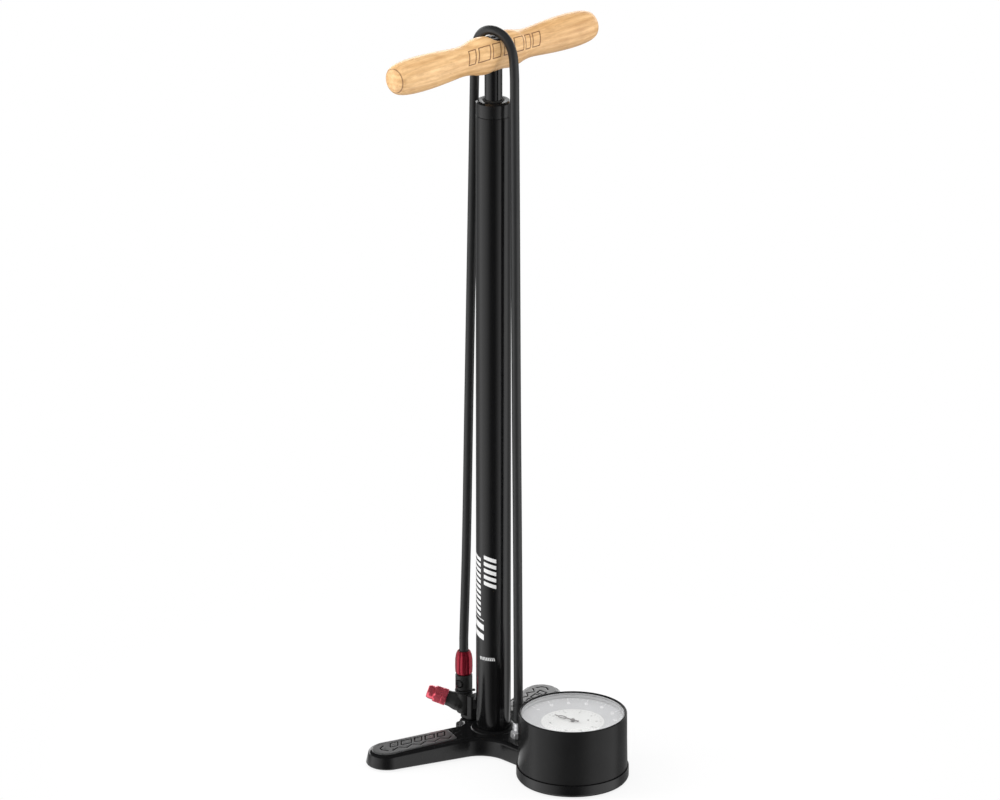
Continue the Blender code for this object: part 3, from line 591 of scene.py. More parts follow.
def make_stage():
    bm = bmesh.new()
    s = 30.0
    vs = [bm.verts.new(p) for p in ((-s, -s, 0), (s, -s, 0), (s, s, 0), (-s, s, 0))]
    bm.faces.new(vs)
    me = bpy.data.meshes.new("floor")
    bm.to_mesh(me)
    bm.free()
    fl = bpy.data.objects.new("floor", me)
    fl.location = (0, 0, -0.0002)
    bpy.context.scene.collection.objects.link(fl)
    m, nt, b = tree("pale_floor")
    b.inputs["Base Color"].default_value = (0.90, 0.90, 0.90, 1.0)
    b.inputs["Roughness"].default_value = 0.9
    b.inputs["Specular IOR Level"].default_value = 0.0
    sep = add(nt, "ShaderNodeSeparateXYZ")
    nt.links.new(coords(nt), sep.inputs[0])
    x, y = sep.outputs[0], sep.outputs[1]
    reach = math_node(nt, 'SQRT', math_node(nt, 'ADD', math_node(nt, 'MULTIPLY', x, x), math_node(nt, 'MULTIPLY', y, y)))
    # the eye meets plain white, with a faint soft contact shadow close to the pump
    white = add(nt, "ShaderNodeEmission")
    white.inputs["Color"].default_value = (1, 1, 1, 1)
    white.inputs["Strength"].default_value = 1.0
    near = span(nt, reach, 0.16, 0.0, 0.16, 0.42)
    seen = add(nt, "ShaderNodeMixShader")
    nt.links.new(near, seen.inputs[0])
    nt.links.new(white.outputs[0], seen.inputs[1])
    nt.links.new(b.outputs[0], seen.inputs[2])
    # glossy pieces meet bright floor only close along the legs; further out they meet the room by its compass sectors
    glow = add(nt, "ShaderNodeEmission")
    glow.inputs["Strength"].default_value = LEG_GLOW

    def leg_distance(deg):
        dx, dy = math.cos(math.radians(deg)), math.sin(math.radians(deg))
        along = math_node(nt, 'ADD', math_node(nt, 'MULTIPLY', x, dx), math_node(nt, 'MULTIPLY', y, dy))
        along = math_node(nt, 'MINIMUM', math_node(nt, 'MAXIMUM', along, 0.0), LEG_LEN * MM)
        ex = math_node(nt, 'SUBTRACT', x, math_node(nt, 'MULTIPLY', along, dx))
        ey = math_node(nt, 'SUBTRACT', y, math_node(nt, 'MULTIPLY', along, dy))
        return math_node(nt, 'SQRT', math_node(nt, 'ADD', math_node(nt, 'MULTIPLY', ex, ex), math_node(nt, 'MULTIPLY', ey, ey)))

    close = math_node(nt, 'MINIMUM', leg_distance(-90.0 - LEG_ANGLE), leg_distance(-90.0 + LEG_ANGLE))
    away = add(nt, "ShaderNodeBsdfTransparent")
    mirror = add(nt, "ShaderNodeMixShader")
    nt.links.new(span(nt, close, 1.0, 0.0, 0.034, 0.054), mirror.inputs[0])
    nt.links.new(away.outputs[0], mirror.inputs[1])
    nt.links.new(glow.outputs[0], mirror.inputs[2])
    lp = add(nt, "ShaderNodeLightPath")
    by_eye = add(nt, "ShaderNodeMixShader")
    nt.links.new(lp.outputs["Is Camera Ray"], by_eye.inputs[0])
    nt.links.new(b.outputs[0], by_eye.inputs[1])
    nt.links.new(seen.outputs[0], by_eye.inputs[2])
    mx = add(nt, "ShaderNodeMixShader")
    nt.links.new(lp.outputs["Is Glossy Ray"], mx.inputs[0])
    nt.links.new(by_eye.outputs[0], mx.inputs[1])
    nt.links.new(mirror.outputs[0], mx.inputs[2])
    nt.links.new(mx.outputs[0], nt.nodes["Material Output"].inputs["Surface"])
    me.materials.append(m)

    w = bpy.data.worlds.new("studio")
    bpy.context.scene.world = w
    w.use_nodes = True
    nt = w.node_tree
    bg = nt.nodes["Background"]
    bg.inputs["Color"].default_value = (1, 1, 1, 1)
    lp = add(nt, "ShaderNodeLightPath")
    tc = add(nt, "ShaderNodeTexCoord")
    sep = add(nt, "ShaderNodeSeparateXYZ")
    nt.links.new(tc.outputs["Generated"], sep.inputs[0])
    x, y, z = sep.outputs[0], sep.outputs[1], sep.outputs[2]
    sides = sector_light(nt, x, y, [(d, 0.03 if -30 < d < 105 else v) for d, v in SECTORS])
    sides = math_node(nt, 'MULTIPLY', sides, span(nt, z, 1.0, 0.03, 0.06, 0.42))
    behind = sector_light(nt, x, y, [(-180, 0.0), (-22, 0.0), (-8, BACK_CARD), (98, BACK_CARD), (112, 0.0), (180, 0.0)])
    behind = math_node(nt, 'MULTIPLY', behind, span(nt, z, 1.0, 0.0, 0.285, 0.315))
    gloss = math_node(nt, 'ADD', math_node(nt, 'MAXIMUM', sides, behind), 0.02)
    below = math_node(nt, 'LESS_THAN', z, 0.0)
    floor_side = sector_light(nt, x, y, SECTORS)
    gloss = math_node(nt, 'ADD', math_node(nt, 'MULTIPLY', floor_side, below),
                      math_node(nt, 'MULTIPLY', gloss, math_node(nt, 'SUBTRACT', 1.0, below)))
    plain = math_node(nt, 'ADD', math_node(nt, 'MULTIPLY', lp.outputs["Is Camera Ray"], 1.0 - WORLD), WORLD)
    mix = add(nt, "ShaderNodeMix", data_type='FLOAT')
    nt.links.new(lp.outputs["Is Glossy Ray"], mix.inputs[0])
    nt.links.new(plain, mix.inputs[2])
    nt.links.new(gloss, mix.inputs[3])
    nt.links.new(mix.outputs[0], bg.inputs["Strength"])


WORLD = 0.72
BACK_CARD = 2.7
LEG_GLOW = 1.0
make_camera()
make_stage()
bpy.context.scene.view_settings.view_transform = 'Standard'
# directions as the camera sees them: right is (0.714, -0.700), away is (0.700, 0.714)
for lamp in (area("key_left", (-1.15, 1.0, 1.0), (0, 0, 0.32), 0.9, 1.9, 19.0), area("key_right", (1.15, -1.05, 0.95), (0, 0, 0.30), 0.8, 1.8, 9.0),
             area("top", (-0.2, -0.2, 2.1), (0, 0, 0.3), 1.6, 1.6, 8.0), area("front_fill", (-1.7, -1.9, 2.4), (0, 0, 0.35), 1.2, 1.2, 14.0)):
    lamp.visible_glossy = False


# ================================================================ hose (the free cord)
def smooth_path(pts, n):
    out = []
    P = [Vector(p) for p in pts]
    for i in range(len(P) - 1):
        p0 = P[i - 1] if i > 0 else P[i] * 2 - P[i + 1]
        p1, p2 = P[i], P[i + 1]
        p3 = P[i + 2] if i + 2 < len(P) else P[i + 1] * 2 - P[i]
        for k in range(n):
            t = k / n
            out.append(0.5 * ((2 * p1) + (p2 - p0) * t + (2 * p0 - 5 * p1 + 4 * p2 - p3) * t * t
                              + (3 * p1 - p0 - 3 * p2 + p3) * t ** 3))
    out.append(P[-1])
    return out


HOSE_CTRL = [(-32.4, 33.8), (-32.45, 75), (-31.2, 212), (-29.6, 348), (-28.3, 500), (-27.0, 630), (-26.6, 655),
             (-24.9, 671.6), (-20.4, 681.3), (-13.3, 687.4), (-5.0, 689.8), (2.0, 689.9), (9.1, 688.1), (15.3, 684.3),
             (20.1, 677.6), (22.8, 668.0), (23.8, 654.0), (24.4, 634.0), (28.3, 477), (32.0, 331), (35.3, 194),
             (38.7, 106), (39.1, 94), (39.1, 78.2)]


RELIEF_TOP = 54.8


def hose_radius(z, first):
    """Plain hose, with a ribbed moulded bend relief on its lowest 21 mm."""
    if not first or z > RELIEF_TOP + 0.6:
        return HOSE_R
    if z > RELIEF_TOP - 0.6:
        return HOSE_R + 0.5 * (RELIEF_TOP + 0.6 - z) / 1.2
    u = ((z - 33.8) / 2.1) % 1.0
    return 4.55 + 0.45 * min(1.0, max(0.0, 2.6 * (abs(u - 0.5) * 2.0) - 0.9))


def make_hose():
    fine = [(p.x, p.y) for p in smooth_path([(y, z, 0.0) for y, z in HOSE_CTRL], 120)]
    line = [fine[0]]
    for q in fine[1:]:
        d = math.hypot(q[0] - line[-1][0], q[1] - line[-1][1])
        low = q[1] < RELIEF_TOP + 1.5 and q[0] < 0.0
        if d >= (0.3 if low else 1.6 if q[1] > 640.0 else 6.0):
            line.append(q)
    if math.hypot(fine[-1][0] - line[-1][0], fine[-1][1] - line[-1][1]) < 1.0:
        line[-1] = fine[-1]
    else:
        line.append(fine[-1])
    n, segs = len(line), 48
    verts, faces = [], []
    for i, (y, z) in enumerate(line):
        a, b = line[max(0, i - 1)], line[min(n - 1, i + 1)]
        t = Vector((0.0, b[0] - a[0], b[1] - a[1])).normalized()
        side = t.cross(Vector((1, 0, 0))).normalized()
        rad = hose_radius(z, y < 0.0)
        for k in range(segs):
            q = 2 * math.pi * k / segs
            p = Vector((0.0, y, z)) + (Vector((1, 0, 0)) * math.cos(q) + side * math.sin(q)) * rad
            verts.append(p * MM)
    for i in range(n - 1):
        for k in range(segs):
            k1 = (k + 1) % segs
            faces.append((i * segs + k, i * segs + k1, (i + 1) * segs + k1, (i + 1) * segs + k))
    faces.append(tuple(range(segs)))
    faces.append(tuple((n - 1) * segs + k for k in range(segs)))
    ob = mesh_object("hose_tube", verts, faces, M["hose"], 50.0)
    return ob, [(0.0, y * MM, z * MM) for y, z in line]


hose, hose_line = make_hose()
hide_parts("hose")
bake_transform(hose, "base", "piston", start=(0, 0, 0.10), end=(0, 0, 0.62))


# ================================================================ base casting
def unit(deg):
    return Vector((math.cos(math.radians(deg)), math.sin(math.radians(deg)), 0.0))


RIGHT_DIR, LEFT_DIR = unit(-90.0 + LEG_ANGLE), unit(-90.0 - LEG_ANGLE)
LEGS = [(unit(-90.0), FRONT_W, 75.0, 27.5), (RIGHT_DIR, LEG_W, LEG_LEN, 9.0),
        (unit(90.0), 9.5, 31.0, 9.0), (LEFT_DIR, LEG_W, LEG_LEN, 27.5)]


def meet(p, d, q, e):
    den = d.x * e.y - d.y * e.x
    s = ((q.x - p.x) * e.y - (q.y - p.y) * e.x) / den
    return p + d * s


def outline(inset, end_steps=48, fillet_steps=24):
    pts = []
    n = len(LEGS)
    for i, (d, w, length, fr) in enumerate(LEGS):
        nl = Vector((-d.y, d.x, 0.0))
        c = d * length
        wi = w - inset
        a0 = math.atan2(-nl.y, -nl.x)
        for k in range(end_steps + 1):
            a = a0 + math.pi * k / end_steps
            pts.append(c + Vector((math.cos(a), math.sin(a), 0.0)) * wi)
        d2, w2, l2, f2 = LEGS[(i + 1) % n]
        nl2 = Vector((-d2.y, d2.x, 0.0))
        centre = meet(nl * (w + fr), d, nl2 * -(w2 + fr), d2)
        ri = fr + inset
        s0 = centre - nl * ri
        s1 = centre + nl2 * ri
        b0 = math.atan2(s0.y - centre.y, s0.x - centre.x)
        b1 = math.atan2(s1.y - centre.y, s1.x - centre.x)
        while b1 > b0:
            b1 -= 2.0 * math.pi
        for k in range(fillet_steps + 1):
            a = b0 + (b1 - b0) * k / fillet_steps
            pts.append(centre + Vector((math.cos(a), math.sin(a), 0.0)) * ri)
    return pts


def leg_top(p):
    s = max(p.dot(RIGHT_DIR), p.dot(LEFT_DIR))
    return LEG_TOP - LEG_FALL * max(0.0, s - FALL_START)


def pad_outline(direction, grow, arc=40, corner=8):
    d = direction
    nl = Vector((-d.y, d.x, 0.0))
    pts = []
    a0 = math.atan2(-nl.y, -nl.x)
    for k in range(arc + 1):
        a = a0 + math.pi * k / arc
        pts.append(d * LEG_LEN + Vector((math.cos(a), math.sin(a), 0.0)) * (PAD_W1 + grow))
    s0, w, r = PAD_S0 - grow, PAD_W0 + grow, 3.0
    for k in range(corner + 1):
        a = math.pi / 2 + (math.pi / 2) * k / corner
        pts.append(d * (s0 + r + r * math.cos(a)) + nl * (w - r + r * math.sin(a)))
    for k in range(corner + 1):
        a = math.pi + (math.pi / 2) * k / corner
        pts.append(d * (s0 + r + r * math.cos(a)) + nl * (-w + r + r * math.sin(a)))
    return pts


def rounded_rect(x0, x1, y0, y1, r, steps=10):
    pts = []
    for cx, cy, a0 in ((x1 - r, y0 + r, -90), (x1 - r, y1 - r, 0), (x0 + r, y1 - r, 90), (x0 + r, y0 + r, 180)):
        for k in range(steps + 1):
            a = math.radians(a0 + 90.0 * k / steps)
            pts.append((cx + r * math.cos(a), cy + r * math.sin(a)))
    return pts


def soft_block(name, x0, x1, y0, y1, r, z0, z1, e=0.6, steps=5):
    loops = []
    for k in range(steps + 1):
        q = math.pi / 2 * k / steps
        i, z = e * (1 - math.sin(q)), z0 + e * (1 - math.cos(q))
        loops.append([(x, y, z) for x, y in rounded_rect(x0 + i, x1 - i, y0 + i, y1 - i, max(0.2, r - i))])
    for k in range(steps + 1):
        q = math.pi / 2 * k / steps
        i, z = e * (1 - math.cos(q)), z1 - e * (1 - math.sin(q))
        loops.append([(x, y, z) for x, y in rounded_rect(x0 + i, x1 - i, y0 + i, y1 - i, max(0.2, r - i))])
    return stack(name, loops, None)


def make_base():
    loops = []
    for inset, z in ((2.2, 1.0), (1.2, 1.25), (0.45, 1.8), (0.0, 2.8)):
        loops.append([(p.x, p.y, z) for p in outline(inset)])
    edge = rounded([(0.0, 12.0), (1.55, 4.9), (2.3, 1.6), (5.6, 0.0)], [0, 3.0, 4.2, 0], 7)[1:]
    for inset, drop in edge:
        loops.append([(p.x, p.y, leg_top(p) - drop) for p in outline(inset)])
    base = stack("base_shell", loops, None)
    cut(base, soft_block("hl", -8.0, 8.0, 31.0, 44.5, 5.0, 1.6, 11.8, 0.9), 'UNION')
    cut(base, lathe("c", [(0, 8.0), (CUP_R0 + 0.2, 8.0), (CUP_R0 + 0.2, 40.0), (0, 40.0)], None, 0, GAUGE_Y, 160, phase=0.011))
    hub = rounded([(0, 2.0), (HUB_R, 2.0), (HUB_R, HUB_TOP - 3.0), (HUB_R - 1.0, HUB_TOP - 0.6), (HUB_R - 2.6, HUB_TOP), (0, HUB_TOP)],
                  [0, 0, 1.5, 1.5, 1.5, 0], 5)
    cut(base, lathe("h", hub, None, 0, 0, 128, phase=0.017), 'UNION')
    plat = rounded([(0, 1.0), (49.9, 1.0), (SKIRT_R, 3.4), (SKIRT_R, SKIRT_TOP), (CUP_R0 + 0.2, SKIRT_TOP),
                    (CUP_R0 + 0.2, CUP_Z0 - GAP), (0, CUP_Z0 - GAP)], [0, 1.6, 1.6, 0.45, 0.0, 0.0, 0.0], 6)
    cut(base, lathe("p", plat, None, 0, GAUGE_Y, 192, phase=0.009), 'UNION')
    cut(base, lathe("s", [(0, 9.0), (BARREL_R + GAP, 9.0), (BARREL_R + GAP, 30.0), (0, 30.0)], None, 0, 0, 96, phase=0.013))
    cut(base, lathe("n", [(0, 12.0), (7.35, 12.0), (7.35, 30.0), (0, 30.0)], None, 0, HOSE_PORT_Y, 64, phase=0.007))
    for d in (RIGHT_DIR, LEFT_DIR):
        lo = [(p.x, p.y, leg_top(p) - 1.5) for p in pad_outline(d, GAP)]
        hi = [(p.x, p.y, leg_top(p) + 6.0) for p in pad_outline(d, GAP)]
        cut(base, stack("pd", [lo, hi], None))
    for c, r in ((LEFT_DIR * LEG_LEN, 10.5), (RIGHT_DIR * LEG_LEN, 10.5), (Vector((0, GAUGE_Y, 0)), 16.0)):
        cut(base, lathe("f", [(0, -2.0), (r + GAP, -2.0), (r + GAP, 4.5), (0, 4.5)], None, c.x, c.y, 64, phase=0.005))
    sharpen(base, M["base"], 26.0)
    wn = base.modifiers.new("normals", 'WEIGHTED_NORMAL')
    wn.keep_sharp = True
    wn.weight = 80
    return base


base = make_base()
piece(base, "base", "base_paint", "base_casting")


# ================================================================ grip pads
def pad_strokes():
    """Generic raised tread: outlined slanted blocks and a zigzag, in leg coordinates (s, t) in mm."""
    segs = []

    def poly(pts, close=True):
        for i in range(len(pts) - (0 if close else 1)):
            segs.append((pts[i], pts[(i + 1) % len(pts)]))

    for s0, w in ((46.0, 7.0), (56.5, 9.0), (69.0, 7.0), (79.5, 10.0), (93.0, 7.5)):
        sl = 3.2
        poly([(s0, -7.6), (s0 + w, -7.6), (s0 + w + sl, 0.4), (s0 + sl, 0.4)])
    zig = [(44.5, 4.4)]
    for k in range(9):
        zig.append((48.5 + 7.0 * k, 8.2 if k % 2 == 0 else 3.6))
    poly(zig, False)
    poly([(108.5, -5.5), (113.0, -1.5), (113.0, 2.5), (108.5, 6.5)], False)
    return segs


def make_pad(name, d, body_nodes):
    nl = Vector((-d.y, d.x, 0.0))
    segs = np.array([[*a, *b] for a, b in pad_strokes()])
    ds = dt = 0.42
    s = np.arange(PAD_S0 - 1, LEG_LEN + PAD_W1 + 1 + ds, ds)
    t = np.arange(-PAD_W1 - 1, PAD_W1 + 1 + dt, dt)

    def inside_distance(S, T):
        """Distance in from the pad's edge, mm; negative outside."""
        w = np.where(S < LEG_LEN, PAD_W0 + (PAD_W1 - PAD_W0) * np.clip((S - PAD_S0) / (LEG_LEN - PAD_S0), 0, 1), PAD_W1)
        side_in = w - np.abs(T)
        back = S - PAD_S0
        q = np.minimum(side_in, back)
        both = (side_in < 3.0) & (back < 3.0)
        q = np.where(both, 3.0 - np.hypot(3.0 - side_in, 3.0 - back), q)
        nose = PAD_W1 - np.hypot(S - LEG_LEN, T)
        return np.where(S > LEG_LEN, nose, q)

    S, T = np.meshgrid(s, t, indexing='ij')
    D = inside_distance(S, T)
    # pull the outermost ring of grid points onto the true edge
    eps = 0.05
    gs = (inside_distance(S + eps, T) - inside_distance(S - eps, T)) / (2 * eps)
    gt = (inside_distance(S, T + eps) - inside_distance(S, T - eps)) / (2 * eps)
    g2 = np.maximum(gs * gs + gt * gt, 1e-6)
    keep = D > -0.62 * ds
    move = np.where((D < 0.62 * ds) & keep, -D, 0.0)
    S2, T2 = S + gs / g2 * move, T + gt / g2 * move
    D2 = np.where(move != 0.0, 0.0, D)
    # groove depth from the nearest stroke
    P = np.stack([S2.ravel(), T2.ravel()], 1)
    best = np.full(len(P), 1e9)
    for x0, y0, x1, y1 in segs:
        e = np.array([x1 - x0, y1 - y0])
        u = np.clip(((P - [x0, y0]) @ e) / (e @ e), 0, 1)
        best = np.minimum(best, np.hypot(P[:, 0] - x0 - u * e[0], P[:, 1] - y0 - u * e[1]))
    best = best.reshape(S.shape)
    groove = np.clip((0.86 - best) / 0.26, 0, 1)
    crown = 0.5 - 0.55 * np.clip(1.0 - D2 / 1.1, 0, 1) ** 2
    top = crown - 0.30 * groove
    idx = -np.ones(S.shape, int)
    verts, att = [], []
    for i, j in zip(*np.nonzero(keep)):
        p = d * S2[i, j] + nl * T2[i, j]
        idx[i, j] = len(verts)
        verts.append((p.x * MM, p.y * MM, (leg_top(p) + top[i, j]) * MM))
        att.append(float(groove[i, j]))
    faces = []
    for i in range(S.shape[0] - 1):
        for j in range(S.shape[1] - 1):
            q = [idx[i, j], idx[i + 1, j], idx[i + 1, j + 1], idx[i, j + 1]]
            q = [k for k in q if k >= 0]
            if len(q) >= 3:
                faces.append(tuple(q))
    me = bpy.data.meshes.new(name)
    me.from_pydata(verts, [], faces)
    a = me.attributes.new("groove", 'FLOAT', 'POINT')
    a.data.foreach_set("value", np.array(att, np.float32))
    bm = bmesh.new()
    bm.from_mesh(me)
    layer = bm.verts.layers.float["groove"]
    loose = [v for v in bm.verts if not v.link_faces]
    bmesh.ops.delete(bm, geom=loose, context='VERTS')
    rim = [e for e in bm.edges if len(e.link_faces) == 1]
    r = bmesh.ops.extrude_edge_only(bm, edges=rim)
    low = [v for v in r["geom"] if isinstance(v, bmesh.types.BMVert)]
    for v in low:
        p = Vector((v.co.x / MM, v.co.y / MM, 0))
        v.co.z = (leg_top(p) - 1.2) * MM
        v[layer] = 0.0
    rim2 = [e for e in r["geom"] if isinstance(e, bmesh.types.BMEdge)]
    bmesh.ops.contextual_create(bm, geom=rim2)
    bmesh.ops.recalc_face_normals(bm, faces=bm.faces)
    bm.to_mesh(me)
    bm.free()
    ob = wrap(name, me, M["pad"], 55.0)
    piece(ob, "base", "rubber_grey", body_nodes)
    return ob


make_pad("tread_pad_right", RIGHT_DIR, "grip_pad_right")
make_pad("tread_pad_left", LEFT_DIR, "grip_pad_left")

# ================================================================ barrel group
barrel = lathe("barrel_tube", [(BARREL_IR, BARREL_Z0)] + rounded([(BARREL_IR, BARREL_Z0), (BARREL_R, BARREL_Z0), (BARREL_R, 300.0),
               (BARREL_R, BARREL_Z1), (BARREL_IR, BARREL_Z1)], [0, 0.2, 0, 0.25, 0], 4)[1:], M["barrel"], 0, 0, 160)
piece(barrel, "base", "barrel_paint", "barrel")

cap_prof = rounded([(11.3, 597.0), (13.7, 597.0), (13.7, 611.8), (BARREL_R, 611.8), (BARREL_R, 623.9), (14.3, 625.5), (10.0, 625.5),
                    (10.0, 622.0), (11.3, 622.0)], [0, 0.2, 0.0, 0.25, 0.45, 0.45, 0.3, 0, 0], 5)
piece(lathe("barrel_cap_ring", cap_prof, M["cap"], 0, 0, 160), "base", "cap_paint", "barrel_cap")
wiper = rounded([(8.15, 622.3), (9.7, 622.3), (9.7, 625.5), (9.2, 626.5), (8.15, 626.3)], [0, 0, 0.5, 0.3, 0], 4)
piece(lathe("rod_wiper_ring", wiper, M["rubber"], 0, 0, 96), "base", "rubber_black", "rod_wiper")

rod_prof = rounded([(6.4, 30.4), (ROD_R, 30.4), (ROD_R, 667.4), (6.4, 667.4)], [0, 0.3, 0.3, 0], 4)
piece(lathe("piston_rod_tube", rod_prof, M["rod"], 0, 0, 128), "rod", "rod_paint", "rod")


# ================================================================ handle
HANDLE_PROFILE = [(0, 16.2), (8, 16.3), (13, 16.9), (18.5, 16.9), (23.8, 16.1), (29, 14.8), (35.2, 13.8), (41.5, 13.4),
                  (49.7, 13.7), (60, 14.5), (72.5, 15.3), (87, 15.8), (99.4, 15.7), (107.7, 15.2), (113.9, 14.4),
                  (118.3, 13.3), (120.9, 12.0), (123.1, 9.2), (124.5, 5.4), (HANDLE_HALF, 0.0)]


def handle_radius():
    """Smooth radius by arc length along half of the handle, as fine (x, r) points."""
    ctrl = [(-x, r, 0.0) for x, r in reversed(HANDLE_PROFILE[1:6])] + [(x, r, 0.0) for x, r in HANDLE_PROFILE]
    fine = smooth_path(ctrl, 24)
    return [(p.x, max(0.0, p.y)) for p in fine if p.x >= -1e-6]


CREASE, CREASE_X = 0.42, 121.9


def burn_strokes():
    """Generic burned ornament: outlined slanted blocks, (x, arc) in mm."""
    segs = []
    for x0, w in ((-41.0, 7.5), (-30.0, 12.0), (-14.5, 10.0), (0.0, 8.0), (12.0, 12.0), (27.5, 7.0), (38.0, 9.0)):
        sl, h = 2.4, 6.4
        q = [(x0 - sl, -h), (x0 + w - sl, -h), (x0 + w + sl, h), (x0 + sl, h)]
        for i in range(4):
            segs.append((*q[i], *q[(i + 1) % 4]))
    return segs


def make_handle():
    prof = handle_radius()
    xs, rs = np.array([p[0] for p in prof]), np.array([p[1] for p in prof])
    xr = np.concatenate([np.arange(0, 64, 0.55), np.arange(64, 112, 1.1)])
    half = [(float(x), float(np.interp(x, xs, rs))) for x in xr]
    half += [(x, r) for x, r in prof if x >= 112.0]
    half = [h for h in half if h[0] < 112.0 or h[0] >= 112.0]
    # the domed end is turned as a separate face: a fine step where it begins
    half = [(x, r) for x, r in half if not 119.6 < x < 123.4]
    extra = [(float(x), float(np.interp(x, xs, rs)) - CREASE * math.exp(-((x - CREASE_X) / 0.30) ** 2)) for x in np.arange(119.6, 123.4, 0.1)]
    half = sorted(set(half + extra))
    ends = [h for h in half if h[1] <= 1e-3]
    half = [h for h in half if h[1] > 1e-3]
    stations = [(-x, r) for x, r in reversed(half[1:])] + half
    ang = []
    # fine steps round the top (notch) and the front (ornament), coarser below
    a = -20.0
    while a < 340.0 - 1e-6:
        ang.append(a)
        a += 1.6 if (a < 205.0) else 2.7
    ang = np.radians(np.array(ang))         # 0 = -Y, 90 = +Z, 180 = +Y
    n = len(ang)
    strokes = burn_strokes()
    verts, att = [], []
    floor_h = NOTCH_Z - HANDLE_Z
    for x, r0 in stations:
        r = np.full(n, r0)
        sin = np.sin(ang)
        if abs(x) < NOTCH_R + 4.0:
            dx = min(abs(x), NOTCH_R)
            h = floor_h - math.sqrt(max(0.0, NOTCH_R ** 2 - dx * dx))
            if abs(x) > NOTCH_R:
                h = floor_h + (abs(x) - NOTCH_R) * 6.0
            with np.errstate(divide='ignore', invalid='ignore'):
                rn = np.where(sin > 0.05, h / np.maximum(sin, 0.05), 1e3)
            k = 0.9
            hh = np.clip(0.5 + 0.5 * (rn - r) / k, 0, 1)
            r = rn * (1 - hh) + r * hh - k * hh * (1 - hh)
            if abs(x) < 9.5:
                # seat for the bolt head
                hb = 11.8
                rb = np.where(sin > 0.3, hb / np.maximum(sin, 0.3), 1e3)
                yb = rb * np.cos(ang)
                dist = np.hypot(x, yb)
                m = np.clip((8.1 - dist) / 0.5, 0, 1)
                r = np.where(rb < r, r * (1 - m) + rb * m, r)
        # ornament
        arc = (ang - math.radians(27.0)) * r0
        best = np.full(n, 1e9)
        if abs(x) < 56.0:
            for x0, y0, x1, y1 in strokes:
                ex, ey = x1 - x0, y1 - y0
                u = np.clip(((x - x0) * ex + (arc - y0) * ey) / (ex * ex + ey * ey), 0, 1)
                best = np.minimum(best, np.hypot(x - x0 - u * ex, arc - y0 - u * ey))
        b = np.clip((0.62 - best) / 0.30, 0, 1)
        r = r - 0.30 * b
        # painted shade: the end crease is darkened through the same attribute as the burned ornament
        b = np.maximum(b, 0.85 * math.exp(-((abs(x) - CREASE_X) / 0.34) ** 2))
        for kk in range(n):
            verts.append((x * MM, -r[kk] * math.cos(ang[kk]) * MM, (HANDLE_Z + r[kk] * math.sin(ang[kk])) * MM))
            att.append(b[kk])
    faces = []
    m = len(stations)
    for i in range(m - 1):
        for k in range(n):
            k1 = (k + 1) % n
            faces.append((i * n + k, i * n + k1, (i + 1) * n + k1, (i + 1) * n + k))
    for end, i in ((-1, 0), (1, m - 1)):
        c = len(verts)
        verts.append((end * HANDLE_HALF * MM, 0.0, HANDLE_Z * MM))
        att.append(0.0)
        for k in range(n):
            faces.append((i * n + k, i * n + (k + 1) % n, c))
    me = bpy.data.meshes.new("handle_wood")
    me.from_pydata(verts, [], faces)
    a = me.attributes.new("burn_and_crease_shade", 'FLOAT', 'POINT')
    a.data.foreach_set("value", np.array(att, np.float32))
    bm = bmesh.new()
    bm.from_mesh(me)
    bmesh.ops.recalc_face_normals(bm, faces=bm.faces)
    bm.to_mesh(me)
    bm.free()
    ob = wrap("handle_wood", me, M["wood"], 60.0)
    return piece(ob, "rod", "wood_varnished", "handle")


make_handle()


def hex_radius(flat, a, phase=0.0):
    """Radius of a hexagon with that half width across flats."""
    q = (a - phase) % (math.pi / 3) - math.pi / 6
    return flat / math.cos(q)


bolt = lathe("handle_bolt_head", rounded([(0, 646.0), (3.0, 646.0), (3.0, 681.9), (7.5, 681.9), (7.5, 683.1), (6.6, 683.7), (0, 683.7)],
             [0, 0.3, 0.2, 0.2, 0.5, 0.5, 0], 4), M["black_steel"], 0, 0, 72)
cut(bolt, lathe("hx", [(0, 681.6), (4.0, 681.6), (4.0, 690.0), (0, 690.0)], None, 0, 0, 36,
                radial=lambda r, z, a: hex_radius(2.5, a)))
sharpen(bolt, M["black_steel"], 30.0)
piece(bolt, "rod", "bolt_black", "handle_bolt")

# ================================================================ gauge
cup = rounded([(0, CUP_Z0), (CUP_R0, CUP_Z0), (CUP_R0 - 0.5, 40.0), (CUP_R1, CUP_Z1), (CUP_R1 - 2.0, CUP_Z1),
               (CUP_R1 - CUP_WALL, CUP_Z1 - 1.6), (CUP_R1 - CUP_WALL, 15.4), (0, 15.4)],
              [0, 0.7, 0, 0.9, 0.6, 0.3, 0.8, 0], 8)
piece(lathe("gauge_cup", cup, M["housing"], 0, GAUGE_Y, 256), "base", "housing_black", "gauge_housing")
ring = rounded([(LENS_R - 1.0, 59.1), (LENS_R, 59.1), (LENS_R, 61.8), (LENS_R - 0.7, 61.8)], [0, 0, 0, 0], 3)
piece(lathe("gauge_bevel_ring", ring, M["ring"], 0, GAUGE_Y, 192), "base", "ring_grey", "gauge_ring")
lens = rounded([(0, 62.1), (LENS_R, 62.1), (LENS_R, 63.5), (LENS_R - 1.3, 63.95), (30.0, 64.05), (0, 64.1)], [0, 0.15, 0.3, 0.8, 0, 0], 5)
window = lathe("gauge_window", lens, M["glass"], 0, GAUGE_Y, 192)
window.data.materials.append(M["ring"])
for f in window.data.polygons:
    c = f.center
    if math.hypot(c.x * 1000.0, c.y * 1000.0 - GAUGE_Y) > LENS_R - 0.25:
        f.material_index = 1
piece(window, "base", "lens_clear", "gauge_lens")


def dish_z(r):
    """Top of the dish, mm."""
    return 54.9 if r <= 29.0 else 54.9 + (r - 29.0) * (58.8 - 54.9) / (LENS_R - 1.2 - 29.0)


